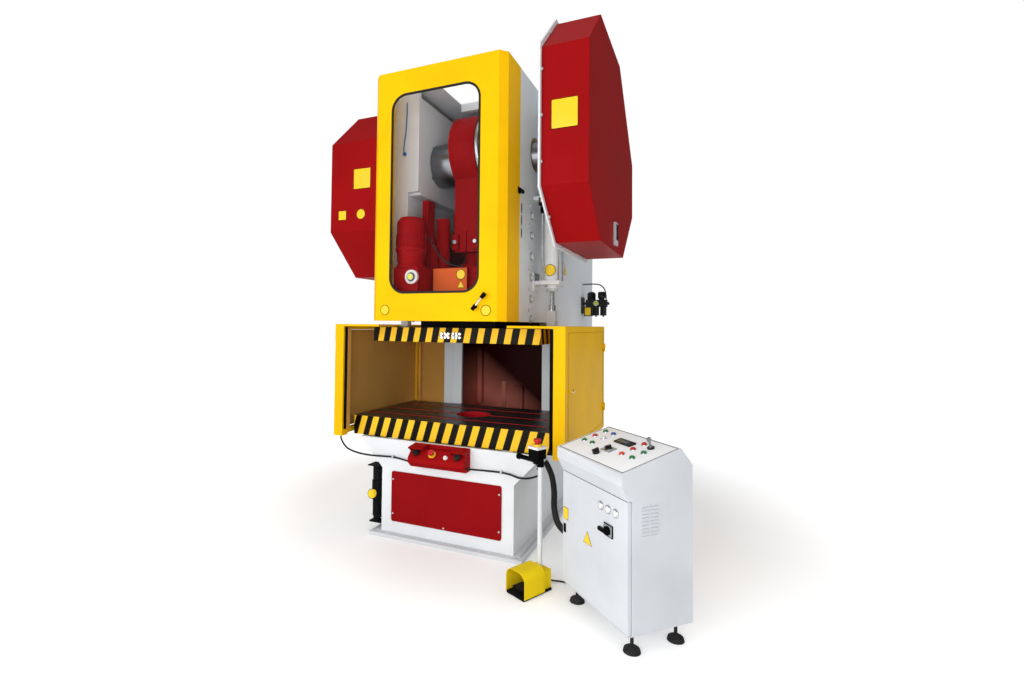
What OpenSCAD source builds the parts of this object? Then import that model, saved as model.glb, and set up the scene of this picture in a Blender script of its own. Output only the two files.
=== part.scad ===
// C-frame mechanical press with its control console and foot pedal.
// Millimetres, +Z up, front of the machine towards -Y, right side towards +X.
// The origin lies on the floor at the centre of the four anchor bolts.

/* [Base and bed] */
// distance from the anchor centre back to front, to the ram axis
ram_y = -720; // [-760:10:-680]
// base plate width
base_w = 1094; // [1060:2:1140]
// base plate length, front to back
base_l = 2424; // [2380:4:2500]
// base plate thickness
base_t = 25; // [20:1:32]
// anchor hole diameter
anchor_d = 28; // [22:1:34]
// anchor hole distance in from the plate edge
anchor_inset = 35; // [30:1:40]
// pedestal front wall ahead of the ram axis
ped_front = 443; // [430:1:460]
// pedestal width
ped_w = 953; // [940:1:970]
// pedestal wall thickness
ped_t = 20; // [14:1:24]
// height where the pedestal starts to flare
flare_z = 446; // [420:2:470]
// width of the flare under the bed
flare_w = 1322; // [1260:2:1380]
// front panel width
panel_w = 795; // [760:5:820]
// front panel height
panel_h = 332; // [300:4:340]
// front panel lower edge above the floor
panel_z = 101; // [90:1:110]
// front panel sheet
panel_t = 6; // [4:1:8]
// bed width
bed_w = 1500; // [1460:4:1540]
// bed front edge ahead of the ram axis
bed_front = 402; // [390:1:420]
// bed rear edge behind the ram axis
bed_back = 405; // [390:1:455]
// bed top above the floor
bed_top = 775; // [760:1:800]
// bed thickness
bed_t = 133; // [120:1:140]
// through hole under the ram
die_hole_d = 242; // [200:2:280]
// T-slot mouth width
slot_w = 22; // [18:1:28]
// T-slot foot width
slot_foot = 37; // [34:1:44]
// T-slot depth
slot_deep = 38; // [34:1:44]
// T-slot spacing
slot_pitch = 230; // [200:5:250]

/* [Frame] */
// frame width over the cheek plates
frame_w = 914; // [900:2:930]
// cheek plate thickness
cheek_t = 72; // [66:1:78]
// frame top above the floor
frame_top = 3087; // [3040:5:3140]
// front edge of the upper cheeks ahead of the ram axis
cheek_front = 320; // [310:1:330]
// rear edge of the frame behind the ram axis
frame_back = 1884; // [1860:4:1900]
// underside of the upper jaw
jaw_z = 1443; // [1430:1:1460]
// radius of the throat corners
throat_r = 120; // [80:5:140]
// throat wall behind the ram axis
throat_wall = 980; // [940:5:1020]
// web plate thickness
web_t = 24; // [18:1:30]
// width of the boxed sides of the upper frame
flange_w = 157; // [140:1:165]
// lower end of the boxed sides
flange_z = 2353; // [2330:1:2380]
// inward edge of the left side in the throat
throat_edge = 86; // [70:2:96]

/* [Ram and drive] */
// crank axis above the floor
crank_z = 2610; // [2600:1:2620]
// crank throw
throw_e = 60; // [50:1:62]
// main journal diameter
journal_d = 190; // [170:2:200]
// crank web disc diameter
web_d = 320; // [310:2:324]
// crank pin diameter
pin_d = 200; // [180:2:206]
// connecting rod big end radius
big_r = 265; // [262:1:270]
// connecting rod big end width
big_w = 194; // [180:2:200]
// connecting rod shank width
shank_w = 190; // [180:2:192]
// connecting rod shank depth
shank_d = 310; // [280:5:320]
// lower end of the connecting rod
rod_z = 1935; // [1925:1:1945]
// ram screw diameter
screw_d = 150; // [130:2:160]
// ram travel of the height adjustment
adjust = 80; // [60:5:90]
// ram plate width
plate_w = 1234; // [1200:2:1260]
// ram plate front ahead of the ram axis
plate_front = 368; // [350:1:380]
// ram plate back behind the ram axis
plate_back = 368; // [350:1:380]
// ram plate underside at top dead centre
plate_z = 1302; // [1290:1:1312]
// ram plate thickness
plate_t = 97; // [90:1:104]
// ram block width
block_w = 560; // [540:2:580]
// ram block front ahead of the ram axis
block_front = 290; // [270:1:300]
// ram block top
block_z = 1812; // [1800:1:1820]
// clear gap between the ram and its guides
gib_gap = 0.3; // [0.2:0.1:0.6]
// gear module of the final drive
gear_m = 10; // [8:1:10]
// final gear face width
gear_face = 120; // [100:2:130]
// flywheel diameter
fly_d = 1000; // [900:10:1040]
// flywheel rim width
fly_w = 200; // [160:5:220]
// pinion shaft diameter
shaft_d = 90; // [80:2:100]
// pinion shaft behind the crank axis
pinion_y = 471; // [465:1:475]
// running clearance of shafts in their bushes
run_c = 0.05; // [0.02:0.01:0.08]
// balance cylinder barrel diameter
bal_d = 112; // [100:2:118]
// balance cylinder axis out from the centre
bal_x = 580; // [574:1:586]
// balance cylinder lower flange
bal_z = 1700; // [1690:1:1710]
// balance cylinder barrel length
bal_l = 560; // [520:5:580]

/* [Hood] */
// hood front face ahead of the ram axis
hood_front = 586; // [570:1:600]
// hood left side out from the centre
hood_left = 498; // [480:1:510]
// hood corner bevel
hood_bevel = 46; // [36:1:56]
// hood sheet thickness
hood_t = 3; // [2:0.5:5]
// window left edge from the centre
win_l = 352; // [330:1:360]
// window right edge from the centre
win_r = 292; // [280:1:310]
// window lower edge above the floor
win_z0 = 1618; // [1600:1:1640]
// window upper edge below the frame top
win_top = 157; // [140:1:190]
// window corner radius
win_rad = 110; // [80:5:130]
// rubber seal width
seal_w = 14; // [10:1:18]

/* [Side guards] */
// guard outer face out from the side of the bed
guard_out = 67; // [60:1:80]
// guard post face width
post_w = 71; // [60:1:80]
// guard front face ahead of the ram axis
guard_front = 540; // [520:1:560]
// guard rear face behind the ram axis
guard_back = 623; // [600:1:650]
// guard lower edge
guard_z0 = 651; // [640:1:660]
// guard upper edge
guard_z1 = 1418; // [1400:1:1425]

/* [Gear and flywheel covers] */
// gear cover inner face from the centre
gcov_x0 = 709; // [700:1:716]
// gear cover outer face from the centre
gcov_x1 = 979; // [960:1:1000]
// flywheel cover outer face from the centre
fcov_x1 = 1160; // [1140:1:1180]
// cover sheet thickness
cover_t = 4; // [3:0.5:6]
// cover mounting plate thickness
cplate_t = 12; // [8:1:16]
// rim of the mounting plate around a cover
cover_rim = 26; // [20:1:32]

/* [Controls] */
// two hand box width
box_w = 400; // [380:5:420]
// two hand box lower edge
box_z = 500; // [490:1:505]
// palm button diameter
palm_d = 44; // [36:1:50]
// push button travel
press_s = 6; // [4:1:8]
// foot pedal turn on the floor
pedal_turn = -26.7; // [-40:1:-10]
// pedal guard width
pedal_w = 144; // [130:1:160]
// pedal guard length
pedal_l = 150; // [130:1:170]
// pedal guard height
pedal_h = 137; // [125:1:150]
// pedal post diameter
ppost_d = 27; // [22:1:32]
// pedal post top
ppost_z = 762; // [730:2:780]
// console turn on the floor
con_turn = -44.7; // [-60:1:-30]
// console cabinet width
con_w = 551; // [520:1:580]
// console cabinet depth
con_d = 351; // [330:1:370]
// console cabinet lower edge
con_z0 = 95; // [85:1:105]
// console front face upper edge
con_z1 = 668; // [650:1:680]
// desk front edge height
desk_z0 = 790; // [780:1:800]
// desk rear edge height
desk_z1 = 876; // [866:1:886]
// desk rear edge behind the cabinet front
desk_y1 = 287; // [275:1:300]
// console sheet thickness
con_t = 2; // [1.5:0.5:3]

/* [Hidden] */
$fn = 64;
eps = 0.01;
// anchor pattern
anchor_x = base_w - 2 * anchor_inset;
anchor_y = base_l - 2 * anchor_inset;
// distances below are from the ram axis
base_front = -ram_y - base_l / 2;
cheek_x = frame_w / 2;
cheek_in = cheek_x - cheek_t;
bed_z = bed_top - bed_t;
plate_top = plate_z + plate_t;
teeth_big = 80;
teeth_small = 18;
big_pitch = gear_m * teeth_big / 2;
small_pitch = gear_m * teeth_small / 2;
gear_dist = big_pitch + small_pitch;
pinion_z = crank_z - sqrt(gear_dist * gear_dist - pinion_y * pinion_y);
bush_t = 22;
hood_gap = 3;
win_z1 = frame_top - win_top;
hinge_r = 9;
hinge_pin = 5;
pivot_c = 0.05;
gx = bed_w / 2 + guard_out;
guard_mid = (guard_z0 + guard_z1) / 2;
seat = 0.3;
weld = 0.1;

// ---------- shared shapes ----------
// everything on the press stands on the ram axis
module press() { translate([0, ram_y, 0]) children(); }
// box from one corner to the other
module span(a, b) { translate(a) cube([b[0] - a[0], b[1] - a[1], b[2] - a[2]]); }
// cylinder along X between two places
module xrod(x0, x1, d, y = 0, z = 0) {
    translate([x0, y, z]) rotate([0, 90, 0]) cylinder(d = d, h = x1 - x0);
}
// cylinder along Y between two places
module yrod(y0, y1, d, x = 0, z = 0) {
    translate([x, y1, z]) rotate([90, 0, 0]) cylinder(d = d, h = y1 - y0);
}
// plate whose outline is given in (y, z), standing between two X planes
module yz_plate(x0, x1) {
    translate([x0, 0, 0]) rotate([90, 0, 90]) linear_extrude(x1 - x0) children();
}
// plate whose outline is given in (x, z), standing between two Y planes
module xz_plate(y0, y1) {
    translate([0, y1, 0]) rotate([90, 0, 0]) linear_extrude(y1 - y0) children();
}
// rectangle with round corners
module round_rect(w, h, r) {
    for (x = [r, w - r], y = [r, h - r]) translate([x, y]) circle(r);
    translate([r, 0]) square([w - 2 * r, h]);
    translate([0, r]) square([w, h - 2 * r]);
}
// hexagon head screw pointing along +Z, head up
module hex_bolt(af, hh) { cylinder(d = af / cos(30), h = hh, $fn = 6); }
// hinge knuckles stacked along Z around a pin axis
module knuckle(z0, z1, bore) {
    translate([0, 0, z0]) difference() {
        cylinder(r = hinge_r, h = z1 - z0);
        translate([0, 0, -1]) cylinder(r = bore, h = z1 - z0 + 2);
    }
}

// ---------- frame ----------
module base() color("#DDE1E3") difference() {
    translate([-base_w / 2, -base_l / 2, 0]) cube([base_w, base_l, base_t]);
    for (x = [-1, 1], y = [-1, 1]) translate([x * anchor_x / 2, y * anchor_y / 2, -1])
        cylinder(d = anchor_d, h = base_t + 2);
}

// front wall, side walls and flared shelves that carry the bed
ped_x = ped_w / 2;
ped_rear = bed_back;
module flare_section(t) polygon([[ped_x - t, base_t], [ped_x, base_t], [ped_x, flare_z],
    [flare_w / 2, bed_z], [flare_w / 2 - t * 1.6, bed_z], [ped_x - t, flare_z + t * 0.6]]);
// cable gland square on the sloping flare, at a depth y and height z
flare_a = atan2(flare_w / 2 - ped_x, bed_z - flare_z);
module flare_gland(y, z, d) translate([ped_x + (z - flare_z) * tan(flare_a), y, z])
    rotate([0, 90 + flare_a, 0]) translate([0, 0, -2]) cylinder(d = d, h = 18);
module pedestal() color("#DDE1E3") press() {
    difference() {
        xz_plate(-ped_front, -ped_front + ped_t) polygon([[-ped_x, base_t], [ped_x, base_t],
            [ped_x, flare_z], [flare_w / 2, bed_z], [-flare_w / 2, bed_z], [-ped_x, flare_z]]);
        span([-panel_w / 2 + 45, -ped_front - 1, panel_z + 40],
            [panel_w / 2 - 45, -ped_front + ped_t + 1, panel_z + panel_h - 40]);
    }
    for (s = [0, 1]) mirror([s, 0, 0]) xz_plate(-ped_front + ped_t, ped_rear)
        flare_section(ped_x - cheek_x);
    flare_gland(-300, 540, 22);
    flare_gland(-200, 560, 52);
}

module cheek_outline() difference() {
    union() {
        translate([-ped_front + ped_t, base_t]) square([frame_back + ped_front - ped_t, bed_z - base_t]);
        translate([bed_back, bed_z - 1]) square([frame_back - bed_back, jaw_z - bed_z + 100]);
        translate([-cheek_front, jaw_z]) square([frame_back + cheek_front, frame_top - jaw_z]);
        translate([bed_back - throat_r, jaw_z - throat_r]) square([throat_r + 1, throat_r + 1]);
    }
    translate([bed_back - throat_r, jaw_z - throat_r]) circle(throat_r);
}
module cheek(side) color("#E4E8EA") press() {
    difference() {
        yz_plate(side > 0 ? cheek_in : -cheek_x, side > 0 ? cheek_x : -cheek_in) cheek_outline();
        for (p = [[0, crank_z, journal_d], [pinion_y, pinion_z, shaft_d]])
            xrod(-cheek_x - 1, cheek_x + 1, p[2] + 2 * bush_t, p[0], p[1]);
        if (side < 0) xrod(-cheek_x - 1, -cheek_in + 1, mshaft_d + 40, motor_y, pinion_z);
    }
}
module cheek_left() { cheek(-1); }
module cheek_right() { cheek(1); }

// plates fitted between the cheeks, each its own piece with a weld gap to the next:
// rear wall, throat wall and its bars, deck, bed support, motor shelf, ribs, top, roof, boxed sides
side_in = cheek_x - flange_w;
box_back = 290;
web_hole = web_d / 2 - 40;
module frame_web() color("#D9DDDF") press() {
    span([-cheek_in, frame_back - web_t, base_t], [cheek_in, frame_back, frame_top]);
    span([-cheek_in, throat_wall, base_t], [cheek_in, throat_wall + web_t, jaw_z + 60]);
    span([-cheek_in, bed_back + 4, bed_top], [-cheek_in + throat_edge, bed_back + 28, jaw_z]);
    span([-cheek_in, throat_wall - 60, bed_z + 70], [-cheek_in + 40, throat_wall - weld, jaw_z]);
    span([-40, throat_wall - 30, bed_z + weld], [40, throat_wall - weld, bed_z + 240]);
    span([-cheek_in, bed_back, jaw_z + 60 + weld], [cheek_in, frame_back - web_t - weld, jaw_z + 60 + web_t]);
    span([-cheek_in, bed_back, bed_z - web_t], [cheek_in, throat_wall - weld, bed_z]);
    span([-cheek_in, motor_y - 150, motor_foot - web_t], [cheek_in, motor_y + 150, motor_foot]);
    for (y = [-200, 200]) span([-cheek_in, y, base_t], [cheek_in, y + web_t, bed_z]);
    span([-cheek_in, 420, frame_top - web_t], [cheek_in, frame_back - web_t - weld, frame_top]);
    // roof over the crank, open on the right behind the hood
    span([-cheek_in, -cheek_front + 30 + weld, frame_top - 6], [-150 - weld, 420 - weld, frame_top]);
    span([-150, 40, frame_top - 60], [cheek_in, 90, frame_top]);
    span([-150, 90 + weld, frame_top - 6], [cheek_in, 420 - weld, frame_top]);
    for (s = [0, 1]) mirror([s, 0, 0]) {
        span([side_in, -cheek_front, flange_z], [cheek_in, -cheek_front + 30, frame_top]);
        span([side_in, -cheek_front + 30, flange_z - 20], [cheek_in, box_back, flange_z]);
        // inner plate of the boxed side, in four pieces round the crank
        for (p = [[-cheek_front + 30, -web_hole, flange_z, frame_top - 61],
                [-web_hole, web_hole, crank_z + web_hole, frame_top - 61],
                [-web_hole, web_hole, flange_z, crank_z - web_hole], [web_hole, box_back, flange_z, frame_top - 61]])
            span([side_in, p[0] + weld, p[2] + weld], [side_in + 20, p[1], p[3]]);
    }
}

module front_panel() color("#9A1418") press() translate([-panel_w / 2, 0, panel_z])
    xz_plate(-ped_front - panel_t, -ped_front) round_rect(panel_w, panel_h, 14);

// panel screws, gib bolts and the bolts around both covers
panel_screws = [[-1, 0.16], [-1, 0.84], [1, 0.16], [1, 0.84], [0, 0.04]];
gib_bolt_z = [1465, 1600, 1745, 1888, 2030, 2165];
module fasteners() color("#B9BDC0") press() {
    for (p = panel_screws) translate([p[0] * (panel_w / 2 - 14), 0, panel_z + p[1] * panel_h])
        yrod(-ped_front - panel_t - 4, -ped_front - panel_t, 11);
    for (s = [-1, 1], z = gib_bolt_z) xrod(s > 0 ? cheek_x : -cheek_x - 14,
        s > 0 ? cheek_x + 14 : -cheek_x, 34, -95, z);
    for (p = [[-385, 527], [398, 519]]) difference() {
        union() {
            xrod(p[0] - 6, p[0] + 6, 20, -ped_front - 12, p[1]);
            span([p[0] - 6, -ped_front - 12, p[1] + 4], [p[0] + 6, -ped_front, p[1] + 10]);
        }
        xrod(p[0] - 7, p[0] + 7, 12.6, -ped_front - 12, p[1]);
    }
    for (p = rim_points(gear_outline())) xrod(gcov_x0, gcov_x0 + 10, 15, p[0], p[1]);
    for (p = rim_points(fly_outline())) xrod(-gcov_x0 - 10, -gcov_x0, 15, p[0], p[1]);
}

// bed with T-slots across and a through hole under the ram
module bed() color("#3A3C3E") press() difference() {
    span([-bed_w / 2, -bed_front, bed_z], [bed_w / 2, bed_back, bed_top]);
    translate([0, 0, bed_z - 1]) cylinder(d = die_hole_d, h = bed_t + 2, $fn = 96);
    for (i = [-1, 0, 1]) {
        span([-bed_w, i * slot_pitch - slot_w / 2, bed_top - slot_deep + 1],
            [bed_w, i * slot_pitch + slot_w / 2, bed_top + 1]);
        span([-bed_w, i * slot_pitch - slot_foot / 2, bed_top - slot_deep],
            [bed_w, i * slot_pitch + slot_foot / 2, bed_top - slot_deep + 16]);
    }
}

// guide bars bolted inside the cheeks, on both sides of the ram
ram_tail = 2290;
gib_y = 110;
module gibs() for (s = [0, 1]) mirror([s, 0, 0])
    for (y = [-block_front, block_front - gib_y])
        span([block_w / 2 + gib_gap, y, jaw_z], [cheek_in, y + gib_y, 2150]);
module bushes() for (s = [-1, 1])
    for (p = [[0, crank_z, journal_d], [pinion_y, pinion_z, shaft_d]]) difference() {
        xrod(s > 0 ? cheek_in : -cheek_x, s > 0 ? cheek_x : -cheek_in,
            p[2] + 2 * bush_t, p[0], p[1]);
        xrod(-cheek_x - 1, cheek_x + 1, p[2] + 2 * run_c, p[0], p[1]);
    }
module plain_bearings() color("#B08D4C") press() {
    gibs();
    bushes();
}

// ---------- hood ----------
hood_z0 = jaw_z;
hood_back = -cheek_front - hood_gap;
module hood_outline(o) polygon([[-hood_left + o, hood_back], [-hood_left + o, -hood_front + hood_bevel + o * 0.4],
    [-hood_left + hood_bevel + o * 0.4, -hood_front + o], [cheek_x - hood_bevel - o * 0.4, -hood_front + o],
    [cheek_x - o, -hood_front + hood_bevel + o * 0.4], [cheek_x - o, hood_back]]);
module window(grow) translate([-win_l - grow, win_z0 - grow])
    round_rect(win_l + win_r + 2 * grow, win_z1 - win_z0 + 2 * grow, win_rad + grow);
hinge_x = -hood_left - hinge_r - 1;
hinge_y = hood_back - 14;
hood_mid = (hood_z0 + frame_top) / 2;
hood_knuckles = [win_z0 - 18, hood_mid, win_z1];
module hood_shell() color("#FFC915") press() {
    difference() {
        translate([0, 0, hood_z0]) linear_extrude(frame_top - hood_z0) difference() {
            hood_outline(0);
            translate([0, 1]) hood_outline(hood_t);
        }
        xz_plate(-hood_front - 1, -hood_front + hood_t + 1) window(0);
    }
    for (z = [hood_z0, frame_top - hood_t]) translate([0, 0, z]) linear_extrude(hood_t) difference() {
        hood_outline(hood_t);
        hood_outline(40);
        span([-300, -cheek_front - 43, 0], [300, 0, 1]);
    }
    for (z = hood_knuckles) {
        translate([hinge_x, hinge_y, 0]) knuckle(z + seat, z + 60, hinge_pin + pivot_c);
        span([hinge_x + hinge_r - 2, hinge_y - 8, z + seat], [-hood_left + 1, hinge_y + 8, z + 60]);
    }
}
module hood_hinges() color("#2B2C2E") press() for (z = hood_knuckles) {
    translate([hinge_x, hinge_y, z - 60]) cylinder(r = hinge_pin, h = 118);
    translate([hinge_x, hinge_y, 0]) knuckle(z - 60, z, hinge_pin - eps);
    span([hinge_x - 3, hinge_y + hinge_r - 2, z - 58], [hinge_x + 3, hinge_y + 60, z - 2]);
    span([hinge_x + 3 - eps, -cheek_front + 8, z - 58], [-cheek_x, -cheek_front + 26, z - 2]);
}
module window_seal() color("#161616") press()
    xz_plate(-hood_front - 2, -hood_front + hood_t + 4) difference() {
        window(0);
        window(-seal_w);
    }
module window_pane() color([0.8, 0.88, 0.9, 0.3]) press()
    xz_plate(-hood_front - 1 + 2, -hood_front + 5) window(-seal_w);

// slanted pull bar on the front, and the latch on the right side
module hood_handles() color("#202020") press() {
    translate([304, -hood_front - 30, 1562]) rotate([0, 40, 0]) {
        translate([0, 0, -46]) cylinder(d = 13, h = 92);
        for (s = [0, 1]) mirror([0, 0, s]) translate([0, 0, 28]) cylinder(d = 25, h = 36);
        for (z = [-44, 44]) translate([0, 30, z]) rotate([90, 0, 0]) cylinder(d = 12, h = 30);
    }
    span([cheek_x, hood_back - 40, hood_mid - 3], [cheek_x + 5, hood_back, hood_mid + 37]);
    span([cheek_x + 5, hood_back - 30, hood_mid + 7], [cheek_x + 19, hood_back + 34, hood_mid + 27]);
}

// ---------- side guards ----------
door_z0 = guard_z0 + 42;
door_z1 = guard_z1 - 40;
gdoor_y0 = -guard_front + 80;
gdoor_y1 = guard_back - 62;
ghinge_y = guard_back - 52;
module guard_frame(s) color("#FFC915") press() mirror([s > 0 ? 0 : 1, 0, 0]) {
    span([gx - post_w, -guard_front, guard_z0], [gx, -guard_front + 64, guard_z1]);
    span([gx - 30, guard_back - 42, guard_z0], [gx, guard_back, guard_z1]);
    for (z = [guard_z0, door_z1 + 2]) span([gx - 30, -guard_front + 64, z], [gx, guard_back - 42, z + 38]);
    span([cheek_x, guard_back - 6, guard_z0], [gx - 30, guard_back, guard_z1]);
    span([cheek_x, guard_back - 36, guard_z1 - 38], [gx - 30, guard_back - 6, guard_z1]);
    // roof sheet with a folded front edge, open round the balance rod
    difference() {
        span([cheek_x + 1, -guard_front + 4 - eps, guard_z1 - 14], [gx - 30 + eps, guard_back - 36 + eps, guard_z1 - 10]);
        span([bal_x - 48, -64, guard_z1 - 20], [bal_x + 48, 64, guard_z1]);
    }
    span([cheek_x + 1, -guard_front, guard_z1 - 14], [gx - post_w + eps, -guard_front + 4, guard_z1]);
    for (z = [door_z0 + 90, door_z1 - 150]) translate([gx + hinge_r + 1, ghinge_y, 0]) {
        knuckle(z, z + 30, hinge_pin - eps);
        translate([0, 0, z]) cylinder(r = hinge_pin, h = 58);
        span([-hinge_r - 1, 4, z], [-2, 30, z + 30]);
    }
}
module guard_frame_left() { guard_frame(-1); }
module guard_frame_right() { guard_frame(1); }
module guard_door(s) color("#D8A21C") press() mirror([s > 0 ? 0 : 1, 0, 0]) {
    span([gx - 3, gdoor_y0, door_z0], [gx, gdoor_y1, door_z1]);
    for (y = [gdoor_y0, gdoor_y1 - 22]) span([gx - 21, y, door_z0], [gx - 3, y + 22, door_z1]);
    for (z = [door_z0 + 90, door_z1 - 150]) translate([gx + hinge_r + 1, ghinge_y, 0]) {
        knuckle(z + 30 + seat, z + 60, hinge_pin + pivot_c);
        span([-hinge_r - 4, -30, z + 30 + seat], [-hinge_r + 5, -4, z + 60]);
    }
    xrod(gx, gx + 18, 20, gdoor_y0 + 26, guard_mid);
}
module guard_door_left() { guard_door(-1); }
module guard_door_right() { guard_door(1); }
module light_curtains() color("#151515") press() for (s = [0, 1]) mirror([s, 0, 0])
    span([gx - post_w - 26, -guard_front + 14, guard_z0 + 44], [gx - post_w, -guard_front + 52, guard_z1 - 20]);

// ---------- covers ----------
function gear_outline() = [[-680, 2205], [-680, 2994], [-369, 3292], [329, 3292],
    [966, 2747], [966, 2317], [485, 1928], [-367, 1928]];
function fly_outline() = [[-204, 2132], [-204, 2826], [122, 3153], [pinion_y + 349, 3153],
    [pinion_y + 675, 2826], [pinion_y + 675, 2132], [pinion_y + 349, 1805], [122, 1805]];
// bolts a little outside each edge of an outline
function rim_points(o) = [for (i = [0 : 7]) let (a = o[i], b = o[(i + 1) % 8], d = b - a,
    l = norm(d), n = [-d[1], d[0]] / l * cover_rim / 2, c = max(1, floor(l / 230)))
    for (k = [0 : c - 1]) a + d * (k + 0.5) / c + n];
module cover_shell(o, x0, x1) {
    yz_plate(x1 - cover_t, x1) polygon(o);
    yz_plate(x0, x1 - cover_t) difference() {
        polygon(o);
        offset(delta = -cover_t) polygon(o);
    }
}
// latch plate on the outer face, near the lower edge
latch_at = [85, 1968];
module gear_cover() color("#A01A1D") press() {
    cover_shell(gear_outline(), gcov_x0, gcov_x1);
    span([gcov_x1, latch_at[0], latch_at[1]], [gcov_x1 + 16, latch_at[0] + 85, latch_at[1] + 154]);
}
module flywheel_cover() color("#A01A1D") press() mirror([1, 0, 0])
    cover_shell(fly_outline(), gcov_x0, fcov_x1);
module cover_plate(o, holes) difference() {
    yz_plate(gcov_x0 - cplate_t, gcov_x0) offset(delta = cover_rim) polygon(o);
    for (p = holes) xrod(gcov_x0 - cplate_t - 1, gcov_x0 + 1, p[2], p[0], p[1]);
}
standoffs_r = [[130, 2300], [130, 2960], [420, 2900], [330, 2200]];
standoffs_l = [[160, 2200], [160, 2850], [780, 2850], [780, 2150]];
module cover_plates() color("#E4E8EA") press() {
    cover_plate(gear_outline(), [[0, crank_z, journal_d + 20], [pinion_y, pinion_z, shaft_d + 20]]);
    for (p = standoffs_r) span([cheek_x, p[0] - 40, p[1] - 40], [gcov_x0 - cplate_t, p[0] + 40, p[1] + 40]);
    mirror([1, 0, 0]) {
        cover_plate(fly_outline(), [[pinion_y, pinion_z, shaft_d + 20], [motor_y, pinion_z, mshaft_d + 40]]);
        for (p = standoffs_l) span([cheek_x, p[0] - 40, p[1] - 40], [gcov_x0 - cplate_t, p[0] + 40, p[1] + 40]);
    }
}

// ---------- drive ----------
// involute gear outline centred on a tooth at angle turn
function inv_pt(rb, a, s) = let (t = sqrt(a * a / (rb * rb) - 1))
    [rb * (cos(deg(t)) + t * sin(deg(t))), s * rb * (sin(deg(t)) - t * cos(deg(t)))];
function deg(t) = t * 180 / PI;
function spin(p, a) = [p[0] * cos(a) - p[1] * sin(a), p[0] * sin(a) + p[1] * cos(a)];
function tooth(z, m, back) = let (rp = m * z / 2, rb = rp * cos(20), ra = rp + m,
    rf = rp - 1.25 * m, r0 = max(rb, rf) + 0.01,
    half = 90 / z - deg(back / 2 / rp), inv20 = tan(20) * 180 / PI - 20, c = half + inv20,
    rs = [r0, (r0 + rp) / 2, rp, (rp + ra) / 2, ra])
    concat([spin([rf - 0.01, 0], -c - 0.3)], [for (r = rs) spin(inv_pt(rb, r, 1), -c)],
        [for (i = [4 : -1 : 0]) spin(inv_pt(rb, rs[i], -1), c)], [spin([rf - 0.01, 0], c + 0.3)]);
module gear2d(z, m, turn, back) polygon([for (i = [0 : z - 1])
    for (p = tooth(z, m, back)) spin(p, turn + i * 360 / z)]);
gear_x0 = gcov_x0 + 60;
mesh_a = atan2(pinion_z - crank_z, pinion_y);
module crankshaft() color("#8E9396") press() difference() {
    union() {
        xrod(-cheek_x - 6, gear_x0 + gear_face + 40, journal_d, 0, crank_z);
        for (s = [0, 1]) mirror([s, 0, 0]) xrod(big_w / 2 + 32, side_in - 4, web_d, 0, crank_z);
        for (s = [0, 1]) mirror([s, 0, 0]) xrod(big_w / 2 + 7, big_w / 2 + 32 + eps, web_d - 30, 0, crank_z);
        xrod(-big_w / 2 - 8, big_w / 2 + 8, pin_d, 0, crank_z + throw_e);
    }
    // the journal stops at the webs: only the offset pin runs through the rod
    difference() {
        xrod(-big_w / 2 - 7, big_w / 2 + 7, journal_d + 2, 0, crank_z);
        xrod(-big_w / 2 - 8, big_w / 2 + 8, pin_d, 0, crank_z + throw_e);
    }
}
module bull_gear() color("#6E7275") press() difference() {
    translate([gear_x0, 0, crank_z]) rotate([90, 0, 90]) linear_extrude(gear_face)
        gear2d(teeth_big, gear_m, mesh_a, 0.8);
    xrod(gear_x0 - 1, gear_x0 + gear_face + 1, journal_d, 0, crank_z);
    for (a = [0 : 60 : 300]) xrod(gear_x0 - 1, gear_x0 + gear_face + 1, 130,
        240 * cos(a), crank_z + 240 * sin(a));
}
pin_x1 = gear_x0 + gear_face + 30;
fly_x0 = gcov_x0 + 60;
// flywheel rim thickness and the recess each side of its disc
rim_t = 90;
dish = fly_w * 0.3;
module pinion_shaft() color("#8E9396") press() {
    xrod(-fly_x0 - fly_w - 60, pin_x1, shaft_d, pinion_y, pinion_z);
    translate([gear_x0 + 5, pinion_y, pinion_z]) rotate([90, 0, 90]) linear_extrude(gear_face - 10)
        gear2d(teeth_small, gear_m, mesh_a + 180 + 180 / teeth_small, 0.8);
}
module flywheel() color("#5C6063") press() difference() {
    union() {
        difference() {
            xrod(-fly_x0 - fly_w, -fly_x0, fly_d, pinion_y, pinion_z);
            xrod(-fly_x0 - fly_w - 1, -fly_x0 - fly_w + dish, fly_d - 2 * rim_t, pinion_y, pinion_z);
            xrod(-fly_x0 - dish, -fly_x0 + 1, fly_d - 2 * rim_t, pinion_y, pinion_z);
        }
        xrod(-fly_x0 - fly_w - 20, -fly_x0 + 20, 300, pinion_y, pinion_z);
    }
    xrod(-fly_x0 - fly_w - 30, -fly_x0 + 30, shaft_d + 2 * run_c, pinion_y, pinion_z);
}

// drive motor on a shelf between the cheeks, its pulley beside the flywheel rim
motor_d = 250;
pulley_d = 120;
motor_y = pinion_y + fly_d / 2 + pulley_d / 2 + 38;
motor_foot = pinion_z - motor_d / 2 - 20;
mshaft_d = 42;
module drive_motor() color("#4A5258") press() difference() {
    union() {
        xrod(-330, 130, motor_d, motor_y, pinion_z);
        xrod(-345, -330, motor_d - 60, motor_y, pinion_z);
        span([-270, motor_y - 110, motor_foot], [80, motor_y + 110, pinion_z - 60]);
    }
    xrod(-346, -200, mshaft_d + 2 * run_c, motor_y, pinion_z);
}
module motor_pulley() color("#5C6063") press() {
    xrod(-fly_x0 - fly_w + 10, -202, mshaft_d, motor_y, pinion_z);
    xrod(-fly_x0 - fly_w, -fly_x0, pulley_d, motor_y, pinion_z);
}

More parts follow.
